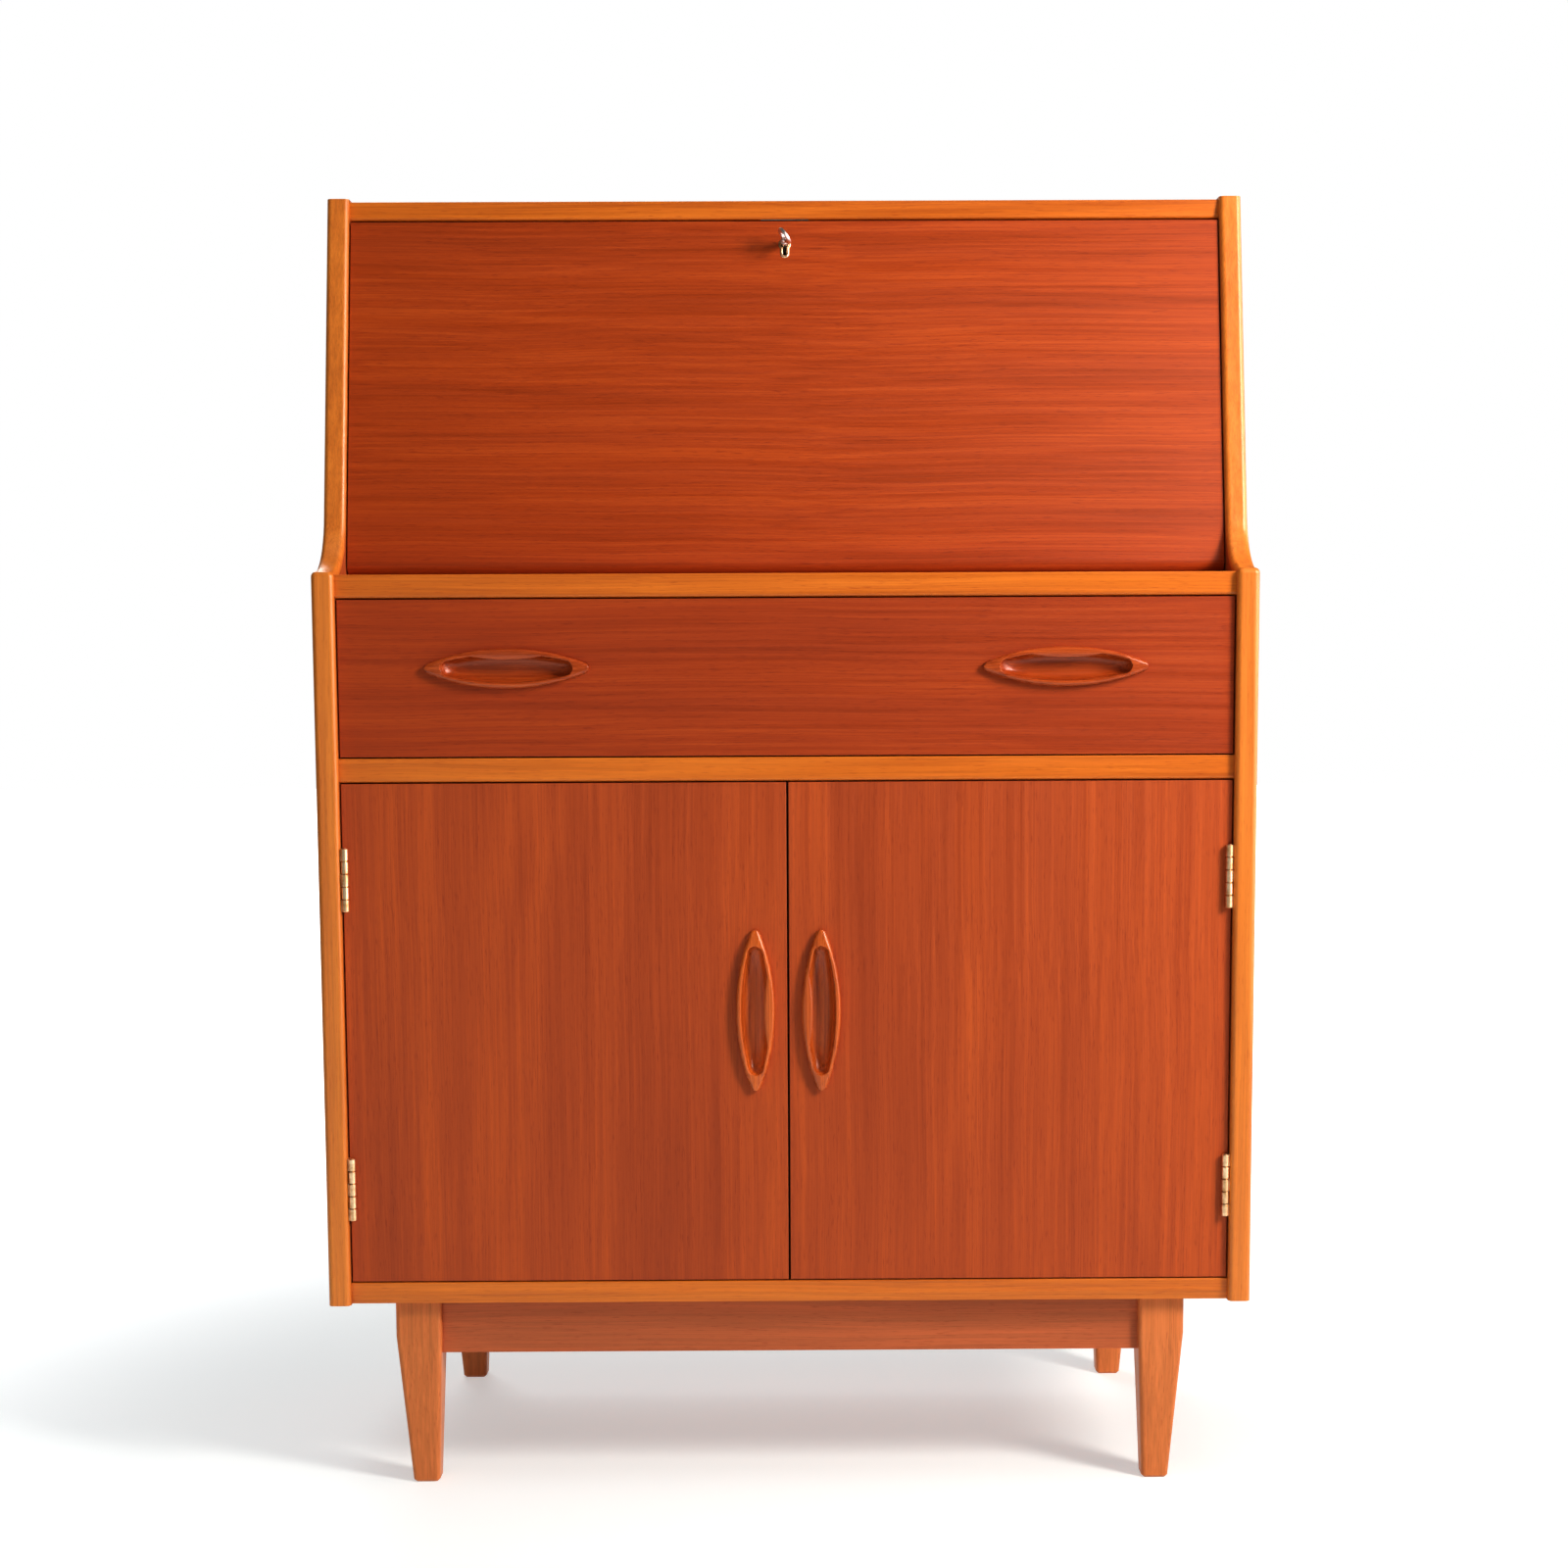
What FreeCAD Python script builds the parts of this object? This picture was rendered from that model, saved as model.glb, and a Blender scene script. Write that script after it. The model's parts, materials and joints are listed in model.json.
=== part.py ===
import FreeCAD, Part
import math
import os

# A mid-century drop-front writing desk (bureau): a teak case with sloping shoulders, a fall front
# on slotted brass stays, one full-width drawer, a two-door cupboard and a four-legged underframe.
# Units are millimetres. The model is drawn with X to the right, Y to the back from the front edge
# of the sides, and Z up from the floor. Every piece is then shifted along Y by CENTRE_Y, so that
# the origin is the centre of the footprint, on the floor.

V = FreeCAD.Vector
X_AXIS, Y_AXIS, Z_AXIS = V(1, 0, 0), V(0, 1, 0), V(0, 0, 1)

# ---- overall -------------------------------------------------------------------------------
WIDTH = 762.0
DEPTH = 400.0
HEIGHT = 1072.0
LEG_HEIGHT = 159.0

# ---- case boards ---------------------------------------------------------------------------
SIDE_T = 18.0
BOTTOM_T = 18.0
MID_T = 19.5
DESK_T = 19.0
TOP_T = 15.5
CUPBOARD_H = 413.5
DRAWER_OPENING_H = 128.5
TOP_BELOW_SIDES = 2.0
FACE_RECESS = 7.0
LIPPING = 6.0
BACK_T = 5.0
BACK_REBATE = 8.0

# ---- sloping shoulders of the sides --------------------------------------------------------
NOSE_ABOVE_DESK = 2.5
NOSE_LAND = 5.5
NOSE_ROUND = 4.5
ARRIS_ROUND = 4.2
RAIL_ROUND = 1.0
RAIL_UNDER_ROUND = 2.5
FOOT_BEVEL_H = 7.5
FOOT_BEVEL_D = 2.5
EASED = 0.6
SHOULDER_RADIUS = 57.4
FALL_LEAN = 11.0
FALL_BEHIND_EDGE = 5.0
TOP_BEHIND_FALL = 2.5

# ---- fall front ----------------------------------------------------------------------------
FALL_T = 18.0
FALL_SIDE_GAP = 1.0
FALL_FOOT_GAP = 1.0
FALL_HEAD_GAP = 1.5
STOP_SIZE = 14.0
STOP_GAP = 0.5
FLOOR_JOINT_GAP = 1.5

# ---- fall pivots and stays -----------------------------------------------------------------
PIVOT_R = 4.0
PIVOT_IN_FALL = 12.0
PIVOT_IN_SIDE = 9.5
BUSH_WALL = 2.0
STAY_REACH = 130.0
STAY_STUD_ANGLE = 125.0
STAY_LIFT = 8.0
STAY_W = 12.0
STAY_T = 2.0
STAY_END = 8.0
STAY_FROM_SIDE = 4.5
SLOT_PLAY = 0.7
STUD_R = 2.5
STUD_HEAD_R = 6.0
HEAD_T = 1.5
LUG_T = 2.5
LUG_W = 14.0
BRACKET_T = 2.0
BRACKET_L = 44.0
BRACKET_W = 20.0

# ---- doors and drawer ----------------------------------------------------------------------
FRONT_T = 18.0
FRONT_GAP = 1.0
DOOR_MEETING_GAP = 1.6
DRAWER_SIDE_T = 12.0
DRAWER_SIDE_H = 96.0
DRAWER_SIDE_GAP = 2.0
DRAWER_LENGTH = 345.0
DRAWER_LIFT = 10.0
DRAWER_BOTTOM_T = 4.0
DRAWER_BOTTOM_LIFT = 8.0
DRAWER_GROOVE = 5.0
RUNNER_H = 16.0
RUNNER_ENTRY = 7.0
RUNNER_LENGTH = 320.0
SLIDE_PLAY = 0.5

# ---- eye-shaped handles --------------------------------------------------------------------
HANDLE_L = 146.5
HANDLE_W = 32.0
HANDLE_TIP_R = 4.5
HANDLE_PROUD = 7.0
HANDLE_SET_IN = 9.0
HANDLE_ROUND = 2.2
HOLLOW_L = 135.4
HOLLOW_W = 23.5
HOLLOW_TIP_R = 6.0
HANDLE_FLOOR = 3.0
HANDLE_LIP_L = 78.0
HANDLE_LIP = 4.75
HANDLE_LIP_T = 4.0
DRAWER_HANDLE_X = 225.5
DRAWER_HANDLE_DROP = 56.5
DOOR_HANDLE_X = 27.0
DOOR_HANDLE_DROP = 187.5

# ---- butt hinges ---------------------------------------------------------------------------
HINGE_H = 52.0
KNUCKLE_R = 3.0
KNUCKLE_GAP = 0.5
KNUCKLE_BEVEL = 0.4
KNUCKLES = 5
HINGE_PIN_R = 1.4
LEAF_T = 0.8
LEAF_W = 17.0
HINGE_PLAY = 0.4
HINGE_INSET = 78.0

# ---- lock, key and catches -----------------------------------------------------------------
LOCK_W = 44.0
LOCK_H = 34.0
LOCK_T = 11.0
LOCK_WALL = 2.0
BOLT_W = 18.0
BOLT_T = 5.0
BOLT_L = 12.5
BOLT_THROW = 7.5
KEY_DROP = 20.0
KEY_STEM_R = 2.4
KEY_BIT = 6.0
KEY_OUT = 27.0
KEY_BOW_R = 8.0
KEY_BOW_T = 2.6
KEY_BOW_HOLE_R = 4.6
KEY_TILT = 38.0
KEYHOLE_R = 2.8
KEYHOLE_SLOT = 2.8
KEYHOLE_L = 12.2
ESCUTCHEON_WALL = 2.4
ESCUTCHEON_T = 3.0
STRIKE_L = 40.0
STRIKE_W = 18.0
STRIKE_T = 1.5
CATCH_L, CATCH_W, CATCH_H = 42.0, 12.0, 11.0
CATCH_PLATE_T = 1.2

# ---- inside --------------------------------------------------------------------------------
SHELF_T = 15.0
SHELF_SETBACK = 30.0
SHELF_PLAY = 1.0
SHELF_PIN_R = 3.0
SHELF_PIN_L = 16.0
UNIT_H = 178.0
UNIT_D = 178.0
UNIT_T = 9.0
UNIT_FROM_SIDE = 14.0
UNIT_BAYS = 4
TRAYS_PER_BAY = 2

# ---- underframe ----------------------------------------------------------------------------
LEG_TOP_W = 38.0
LEG_FOOT_W = 22.0
LEG_SQUARE = 32.0
LEG_INNER_X = 291.5
LEG_INNER_SPLAY = 5.0
FRONT_LEG_Y = 20.0
REAR_LEG_Y = 26.0
LEG_ROUND = 4.0
SOLE_BEVEL = 2.0
APRON_H = 47.0
APRON_T = 20.0
APRON_BEHIND_LEG = 8.0
BLOCK_ARM = 62.0
BLOCK_INNER_ARM = 38.0
BLOCK_H = 28.0

# ---- fasteners and fits --------------------------------------------------------------------
FIT = 0.05
LOOSE = 0.4
DOWEL_R = 4.0
DOWEL_IN_SIDE = 12.0
DOWEL_IN_BOARD = 20.0
SCREW_R = 1.5
SCREW_HEAD_R = 3.0
SCREW_L = 12.0
FRAME_SCREW_R = 2.2
FRAME_SCREW_HEAD_R = 4.4
FRAME_SCREW_L = 40.0

# ---- worked out from the values above ------------------------------------------------------
INNER_X = WIDTH / 2 - SIDE_T
BOARD_BACK = DEPTH - BACK_T
BOTTOM_TOP = LEG_HEIGHT + BOTTOM_T
MID_BOTTOM = BOTTOM_TOP + CUPBOARD_H
MID_TOP = MID_BOTTOM + MID_T
DESK_BOTTOM = MID_TOP + DRAWER_OPENING_H
DESK_TOP = DESK_BOTTOM + DESK_T
NOSE_Z = DESK_TOP + NOSE_ABOVE_DESK
TOP_Z = HEIGHT - TOP_BELOW_SIDES
TOP_BOTTOM = TOP_Z - TOP_T
FRONT_BACK = FACE_RECESS + FRONT_T

SIN_LEAN = math.sin(math.radians(FALL_LEAN))
COS_LEAN = math.cos(math.radians(FALL_LEAN))
SHOULDER_CENTRE = (NOSE_LAND, NOSE_Z + SHOULDER_RADIUS)
SHOULDER_END = (SHOULDER_CENTRE[0] + SHOULDER_RADIUS * COS_LEAN,
                SHOULDER_CENTRE[1] - SHOULDER_RADIUS * SIN_LEAN)

# The fall turns about the middle of its thickness; its rounded foot just clears the desk board.
PIVOT_Z = DESK_TOP + FALL_FOOT_GAP + FALL_T / 2
PIVOT_Y = (SHOULDER_END[0] + (PIVOT_Z - SHOULDER_END[1]) * SIN_LEAN / COS_LEAN
           + (FALL_BEHIND_EDGE + FALL_T / 2) / COS_LEAN)
FALL_X = INNER_X - FALL_SIDE_GAP
FALL_L = (TOP_BOTTOM - FALL_HEAD_GAP - PIVOT_Z - FALL_T / 2 * SIN_LEAN) / COS_LEAN
FLOOR_T = FALL_T + FALL_FOOT_GAP
FLOOR_TOP = DESK_TOP + FLOOR_T

# The stay's pin on the fall and its stud on the side are equally far from the pivot, so the bar
# turns at half the rate of the fall.
STAY_PIN_Y = FALL_T / 2 + STAY_LIFT
STAY_PIN_Z = math.sqrt(STAY_REACH ** 2 - STAY_PIN_Y ** 2)
STUD_Y = PIVOT_Y - STAY_REACH * math.cos(math.radians(STAY_STUD_ANGLE))
STUD_Z = PIVOT_Z + STAY_REACH * math.sin(math.radians(STAY_STUD_ANGLE))
STAY_OUT_X = INNER_X - STAY_FROM_SIDE
STAY_IN_X = STAY_OUT_X - STAY_T
FALL_SWING = 90.0 + FALL_LEAN

HINGE_X = INNER_X - KNUCKLE_R - HINGE_PLAY
HINGE_Y = FACE_RECESS - KNUCKLE_R - KNUCKLE_GAP
DOOR_EDGE_X = INNER_X - FRONT_GAP
DOOR_Z0 = BOTTOM_TOP + FRONT_GAP
DOOR_Z1 = MID_BOTTOM - FRONT_GAP
HINGE_ZS = (DOOR_Z0 + HINGE_INSET, DOOR_Z1 - HINGE_INSET)
KEY_Z = FALL_L - KEY_DROP

DRAWER_OUT_X = INNER_X - DRAWER_SIDE_GAP
DRAWER_IN_X = DRAWER_OUT_X - DRAWER_SIDE_T
DRAWER_Z0 = MID_TOP + DRAWER_LIFT
DRAWER_BACK_Y = FRONT_BACK + DRAWER_LENGTH
RUNNER_Z = DRAWER_Z0 + DRAWER_SIDE_H / 2 - RUNNER_H / 2
DRAWER_HANDLE_Z = DESK_BOTTOM - DRAWER_HANDLE_DROP
DOOR_HANDLE_Z = MID_BOTTOM - DOOR_HANDLE_DROP

UNIT_X = INNER_X - UNIT_FROM_SIDE
UNIT_Y0 = BOARD_BACK - 1.0 - UNIT_D
SHELF_Z = (BOTTOM_TOP + MID_BOTTOM) / 2
LEG_CENTRE_X = LEG_INNER_X + LEG_TOP_W / 2
APRON_Y0 = FRONT_LEG_Y + APRON_BEHIND_LEG
REAR_APRON_Y1 = DEPTH - REAR_LEG_Y - APRON_BEHIND_LEG
APRON_BOTTOM = LEG_HEIGHT - APRON_H
SIDE_APRON_IN_X = LEG_CENTRE_X - APRON_T / 2
CENTRE_Y = (min(0.0, FACE_RECESS - HANDLE_PROUD) + DEPTH) / 2


# ---- small helpers -------------------------------------------------------------------------
def box(x0, x1, y0, y1, z0, z1):
    return Part.makeBox(x1 - x0, y1 - y0, z1 - z0, V(x0, y0, z0))


def cylinder(at, axis, radius, length):
    return Part.makeCylinder(radius, length, V(*at), V(*axis))


def mirrored(shape):
    return shape.mirror(V(0, 0, 0), X_AXIS)


def pair(shape):
    return [shape, mirrored(shape)]


def prism(wire, direction):
    return Part.Face(wire).extrude(V(*direction))


def polygon_yz(points, x0, x1):
    corners = [V(x0, y, z) for y, z in points]
    return prism(Part.makePolygon(corners + corners[:1]), (x1 - x0, 0, 0))


def without(shape, *tools):
    for tool in tools:
        shape = shape.cut(tool)
    return shape.removeSplitter()


def front_edges(shape, y, z=None):
    """Edges in the plane at y: all of them, or the one at height z."""
    return [e for e in shape.Edges if abs(e.BoundBox.YMin - y) < FIT and abs(e.BoundBox.YMax - y) < FIT
            and (z is None or abs(e.BoundBox.ZMin - z) < FIT and abs(e.BoundBox.ZMax - z) < FIT)]


def leaned(shape):
    """Move a shape drawn about the fall's pivot, upright, to the closed fall's slope."""
    tilted = shape.copy()
    tilted.rotate(V(0, 0, 0), X_AXIS, -FALL_LEAN)
    tilted.translate(V(0, PIVOT_Y, PIVOT_Z))
    return tilted


def fall_plane_y(offset, z):
    """Y at height z of the plane parallel to the fall, offset inwards from its middle."""
    return PIVOT_Y + (offset + (z - PIVOT_Z) * SIN_LEAN) / COS_LEAN


def screw(at, direction, radius=SCREW_R, head=SCREW_HEAD_R, length=SCREW_L, play=0.0):
    """Countersunk screw with its head flush at the point, driven along the direction."""
    way = V(*direction).normalize()
    cone = Part.makeCone(head + play, radius + play, head - radius, V(*at), way)
    return cone.fuse(cylinder(at, way, radius + play, length + play))


def eye_face(length, width, tip_radius):
    """Pointed oval in the XZ plane about the origin, long way along X, with rounded tips."""
    half, rise = length / 2, width / 2
    radius = (half ** 2 + rise ** 2) / (2 * rise)
    upper = Part.Arc(V(-half, 0, 0), V(0, 0, rise), V(half, 0, 0)).toShape()
    lower = Part.Arc(V(half, 0, 0), V(0, 0, -rise), V(-half, 0, 0)).toShape()
    solid = prism(Part.Wire([upper, lower]), (0, radius, 0))
    tips = [e for e in solid.Edges if abs(abs(e.CenterOfMass.x) - half) < FIT
            and abs(e.CenterOfMass.z) < FIT and e.Length > radius / 2]
    rounded = solid.makeFillet(tip_radius, tips)
    ends = [f for f in rounded.Faces if abs(f.CenterOfMass.y) < FIT]
    return ends[0]


# ---- case ----------------------------------------------------------------------------------
def side_outline(inset):
    """Front profile of a side in YZ, moved in from the front edge by the inset."""
    (cy, cz), radius = SHOULDER_CENTRE, SHOULDER_RADIUS + inset
    nose_z, nose = NOSE_Z - inset, max(NOSE_ROUND - inset, 0.0)
    turn = math.radians(270.0 + (90.0 - FALL_LEAN) / 2)
    mid = V(0, cy + radius * math.cos(turn), cz + radius * math.sin(turn))
    end = V(0, cy + radius * COS_LEAN, cz - radius * SIN_LEAN)
    head = V(0, end.y + (HEIGHT - end.z) * SIN_LEAN / COS_LEAN, HEIGHT)
    foot, start = V(0, inset, LEG_HEIGHT), V(0, cy, nose_z)
    if inset >= cy:
        start = V(0, inset, cz - math.sqrt(radius ** 2 - (inset - cy) ** 2))
        edges = [Part.makeLine(foot, start)]
    elif nose > 0:
        low, high = V(0, inset, nose_z - nose), V(0, inset + nose, nose_z)
        bend = nose * (1 - math.sqrt(0.5))
        edges = [Part.makeLine(foot, low),
                 Part.Arc(low, V(0, inset + bend, nose_z - bend), high).toShape(),
                 Part.makeLine(high, start)]
    else:
        corner = V(0, inset, nose_z)
        edges = [Part.makeLine(foot, corner), Part.makeLine(corner, start)]
    back_top, back_foot = V(0, DEPTH, HEIGHT), V(0, DEPTH, LEG_HEIGHT)
    edges += [Part.Arc(start, mid, end).toShape(), Part.makeLine(end, head),
              Part.makeLine(head, back_top), Part.makeLine(back_top, back_foot),
              Part.makeLine(back_foot, foot)]
    return Part.Wire(edges)


def side_slab(inset):
    slab = prism(side_outline(inset), (SIDE_T, 0, 0))
    slab.translate(V(INNER_X, 0, 0))
    return slab


def board_levels():
    """Bottom and top heights, and front edge, of the four boards that span the sides."""
    top_front = fall_plane_y(-FALL_T / 2, TOP_BOTTOM) + TOP_BEHIND_FALL
    return {"bottom_board": (LEG_HEIGHT, BOTTOM_TOP, FACE_RECESS),
            "mid_board": (MID_BOTTOM, MID_TOP, FACE_RECESS),
            "desk_board": (DESK_BOTTOM, DESK_TOP, FACE_RECESS),
            "top_board": (TOP_BOTTOM, TOP_Z, top_front)}


def dowels(play=0.0):
    """Dowels that join the boards to the right-hand side."""
    made = []
    for low, high, front in board_levels().values():
        for share in (0.12, 0.5, 0.88):
            y = front + (BOARD_BACK - front) * share
            start = (INNER_X - DOWEL_IN_BOARD - play, y, (low + high) / 2)
            length = DOWEL_IN_BOARD + DOWEL_IN_SIDE + 2 * play
            made.append(cylinder(start, (1, 0, 0), DOWEL_R + play, length))
    return made


def stud(play=0.0):
    shank = cylinder((STAY_IN_X - LOOSE, STUD_Y, STUD_Z), (1, 0, 0), STUD_R + play,
                     INNER_X + SCREW_L - STAY_IN_X + LOOSE)
    collar = cylinder((STAY_OUT_X + LOOSE, STUD_Y, STUD_Z), (1, 0, 0), STUD_HEAD_R,
                      STAY_FROM_SIDE - LOOSE)
    head = cylinder((STAY_IN_X - LOOSE - HEAD_T, STUD_Y, STUD_Z), (1, 0, 0), STUD_HEAD_R, HEAD_T)
    return shank if play else shank.fuse([collar, head]).removeSplitter()


def bush(play=0.0):
    outer = cylinder((INNER_X, PIVOT_Y, PIVOT_Z), (1, 0, 0), PIVOT_R + BUSH_WALL + play,
                     PIVOT_IN_SIDE + 1.0 + play)
    bore = cylinder((INNER_X, PIVOT_Y, PIVOT_Z), (1, 0, 0), PIVOT_R + FIT, PIVOT_IN_SIDE + LOOSE)
    return outer if play else outer.cut(bore)


def shelf_pin(y, play=0.0):
    start = (INNER_X - SHELF_PIN_L / 2, y, SHELF_Z - SHELF_T / 2 - SHELF_PIN_R)
    return cylinder(start, (1, 0, 0), SHELF_PIN_R + play, SHELF_PIN_L + play)


def shelf_pin_ys():
    front = FRONT_BACK + SHELF_SETBACK
    return front + 40.0, BOARD_BACK - 45.0


def case_screws(play=0.0):
    """Small screws into the right-hand half of the case: back panel, runner and hinges."""
    made = []
    for z in (LEG_HEIGHT + 60, MID_BOTTOM - 130, MID_TOP + 60, DESK_TOP + 110, TOP_BOTTOM - 45):
        made.append(screw((INNER_X + BACK_REBATE / 2, DEPTH, z), (0, -1, 0), play=play))
    for low, high, _front in board_levels().values():
        for x in (95.0, 255.0):
            made.append(screw((x, DEPTH, (low + high) / 2), (0, -1, 0), play=play))
    for z in HINGE_ZS:
        for step in (-1, 0, 1):
            at = (INNER_X - LEAF_T, HINGE_Y + LEAF_W * 0.66, z + step * HINGE_H * 0.36)
            made.append(screw(at, (1, 0, 0), play=play))
    for share in (0.12, 0.5, 0.88):
        y = FRONT_BACK + 5.0 + RUNNER_LENGTH * share
        at = (INNER_X - DRAWER_SIDE_GAP - RUNNER_ENTRY, y, RUNNER_Z + RUNNER_H / 2)
        made.append(screw(at, (1, 0, 0), length=SCREW_L + 8.0, play=play))
    return made


def side_board():
    rebate = box(INNER_X, INNER_X + BACK_REBATE, BOARD_BACK, DEPTH, LEG_HEIGHT, TOP_Z)
    holes = dowels(FIT) + case_screws(FIT) + [stud(FIT), bush(FIT)]
    holes += [shelf_pin(y, FIT) for y in shelf_pin_ys()]
    return without(side_slab(LIPPING), rebate, *holes)


def side_lipping():
    strip = side_slab(0.0).cut(side_slab(LIPPING))
    profile = side_outline(0.0)
    arrises = []
    for edge in strip.Edges:
        middle = edge.valueAt((edge.FirstParameter + edge.LastParameter) / 2)
        on_profile = Part.Vertex(0, middle.y, middle.z).distToShape(profile)[0] < FIT
        if edge.BoundBox.XLength < FIT and on_profile and LEG_HEIGHT + FIT < middle.z < HEIGHT - FIT:
            arrises.append(edge)
    return strip.makeFillet(ARRIS_ROUND, arrises)


def cut_both_sides(shape, tools):
    return without(shape, *[s for tool in tools for s in pair(tool)])


def case_board(name):
    low, high, front = board_levels()[name]
    board = box(-INNER_X, INNER_X, front + LIPPING, BOARD_BACK, low, high)
    return cut_both_sides(board, dowels(FIT) + case_screws(FIT))


def rail_lippings():
    """Edging of the boards, rounded more below than above. The lowest has a bevel along its foot."""
    made = []
    for low, high, front in board_levels().values():
        strip = box(-INNER_X, INNER_X, front, front + LIPPING, low, high)
        under, edge_z = RAIL_UNDER_ROUND, low
        if low == LEG_HEIGHT:
            corners = [(front, low), (front + FOOT_BEVEL_D, low), (front, low + FOOT_BEVEL_H)]
            strip = strip.cut(polygon_yz(corners, -INNER_X, INNER_X))
            edge_z = low + FOOT_BEVEL_H
        strip = strip.makeFillet(RAIL_ROUND, front_edges(strip, front, high))
        strip = strip.makeFillet(under, front_edges(strip, front, edge_z))
        made.append(without(strip, *strike_pocket()))
    return made


def back_panel():
    panel = box(-INNER_X - BACK_REBATE + LOOSE, INNER_X + BACK_REBATE - LOOSE,
                BOARD_BACK, DEPTH, LEG_HEIGHT, TOP_Z)
    return cut_both_sides(panel, case_screws(FIT))


def writing_floor():
    front = fall_plane_y(FALL_T / 2, FLOOR_TOP) + FLOOR_JOINT_GAP
    return box(-INNER_X + LOOSE, INNER_X - LOOSE, front, BOARD_BACK, DESK_TOP, FLOOR_TOP)


# ---- inside the case -----------------------------------------------------------------------
def unit_upright_xs():
    step = (2 * UNIT_X - UNIT_T) / UNIT_BAYS
    return [-UNIT_X + step * i for i in range(UNIT_BAYS + 1)]


def unit_uprights():
    return [box(x, x + UNIT_T, UNIT_Y0, UNIT_Y0 + UNIT_D, FLOOR_TOP, FLOOR_TOP + UNIT_H - UNIT_T)
            for x in unit_upright_xs()]


def unit_top():
    return box(-UNIT_X, UNIT_X, UNIT_Y0, UNIT_Y0 + UNIT_D,
               FLOOR_TOP + UNIT_H - UNIT_T, FLOOR_TOP + UNIT_H)


def unit_trays():
    """Thin shelves in the two outer bays of the pigeonhole unit."""
    clear_h = UNIT_H - UNIT_T
    tray_t = UNIT_T * 0.6
    made = []
    for left in (unit_upright_xs()[0], unit_upright_xs()[-2]):
        right = left + (2 * UNIT_X - UNIT_T) / UNIT_BAYS
        for i in range(TRAYS_PER_BAY):
            z = FLOOR_TOP + clear_h * (i + 1) / (TRAYS_PER_BAY + 1)
            made.append(box(left + UNIT_T, right, UNIT_Y0 + 6.0, UNIT_Y0 + UNIT_D,
                            z - tray_t / 2, z + tray_t / 2))
    return made


def cupboard_shelf():
    x = INNER_X - SHELF_PLAY
    shelf = box(-x, x, FRONT_BACK + SHELF_SETBACK, BOARD_BACK - 1.0,
                SHELF_Z - SHELF_T / 2, SHELF_Z + SHELF_T / 2)
    return shelf


def drawer_runner():
    x1 = INNER_X - DRAWER_SIDE_GAP - RUNNER_ENTRY
    strip = box(x1, INNER_X, FRONT_BACK + 5.0, FRONT_BACK + 5.0 + RUNNER_LENGTH,
                RUNNER_Z, RUNNER_Z + RUNNER_H)
    return without(strip, *case_screws(FIT))


def fall_stop():
    low, front = TOP_BOTTOM - STOP_SIZE, FALL_T / 2 + STOP_GAP
    strip = polygon_yz([(fall_plane_y(front, low), low), (fall_plane_y(front, TOP_BOTTOM), TOP_BOTTOM),
                        (fall_plane_y(front, TOP_BOTTOM) + STOP_SIZE, TOP_BOTTOM),
                        (fall_plane_y(front, TOP_BOTTOM) + STOP_SIZE, low)],
                       -INNER_X + STAY_FROM_SIDE * 3, INNER_X - STAY_FROM_SIDE * 3)
    gap = box(-LOCK_W, LOCK_W, 0, DEPTH, low - 1.0, TOP_BOTTOM)
    return strip.cut(gap)


# ---- handles -------------------------------------------------------------------------------
def handle_blank(play=0.0):
    """Outer shape of a handle: face at -HANDLE_PROUD, back let into the front."""
    bow = (HANDLE_L ** 2 + HANDLE_W ** 2) / (4 * HANDLE_W)
    length = 2 * math.sqrt((bow + play) ** 2 - (bow - HANDLE_W / 2) ** 2)
    face = eye_face(length, HANDLE_W + 2 * play, HANDLE_TIP_R + play)
    solid = face.extrude(V(0, HANDLE_PROUD + HANDLE_SET_IN + play, 0))
    solid.translate(V(0, -HANDLE_PROUD, 0))
    return solid


def handle_solid():
    """Pull with a scooped finger hollow under a lip along its upper edge."""
    blank = handle_blank()
    rim = [e for e in blank.Edges if abs(e.CenterOfMass.y + HANDLE_PROUD) < FIT]
    blank = blank.makeFillet(HANDLE_ROUND, rim)
    depth = HANDLE_PROUD + HANDLE_SET_IN - HANDLE_FLOOR
    hollow = eye_face(HOLLOW_L, HOLLOW_W, HOLLOW_TIP_R).extrude(V(0, depth, 0))
    hollow.translate(V(0, -HANDLE_PROUD, 0))
    lip = eye_face(HANDLE_LIP_L, HANDLE_LIP * 2, 1.0).extrude(V(0, HANDLE_LIP_T, 0))
    lip.translate(V(0, -HANDLE_PROUD + 1.0, HOLLOW_W / 2))
    return without(blank, hollow.cut(lip))


def handle_at(shape, x, z, turn):
    """Place a handle shape on the front face, turned about the depth axis."""
    placed = shape.copy()
    placed.rotate(V(0, 0, 0), Y_AXIS, turn)
    placed.translate(V(x, FACE_RECESS, z))
    return placed


DRAWER_HANDLES = [(DRAWER_HANDLE_X, DRAWER_HANDLE_Z, 0), (-DRAWER_HANDLE_X, DRAWER_HANDLE_Z, 0)]
DOOR_HANDLE_RIGHT = (DOOR_HANDLE_X, DOOR_HANDLE_Z, -90)
DOOR_HANDLE_LEFT = (-DOOR_HANDLE_X, DOOR_HANDLE_Z, 90)


# ---- doors and hinges ----------------------------------------------------------------------
def leaf_screws(play=0.0):
    made = []
    for z in HINGE_ZS:
        for step in (-1, 0, 1):
            at = (DOOR_EDGE_X, HINGE_Y + LEAF_W * 0.66, z + step * HINGE_H * 0.36)
            made.append(screw(at, (-1, 0, 0), play=play))
    return made


def knuckle_spans(z, odd):
    """Heights of the knuckles of one leaf: even ones on the case leaf, odd ones on the door's."""
    pitch = HINGE_H / KNUCKLES
    low = z - HINGE_H / 2
    return [(low + pitch * i + KNUCKLE_GAP / 2, low + pitch * (i + 1) - KNUCKLE_GAP / 2)
            for i in range(KNUCKLES) if i % 2 == odd]


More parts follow.
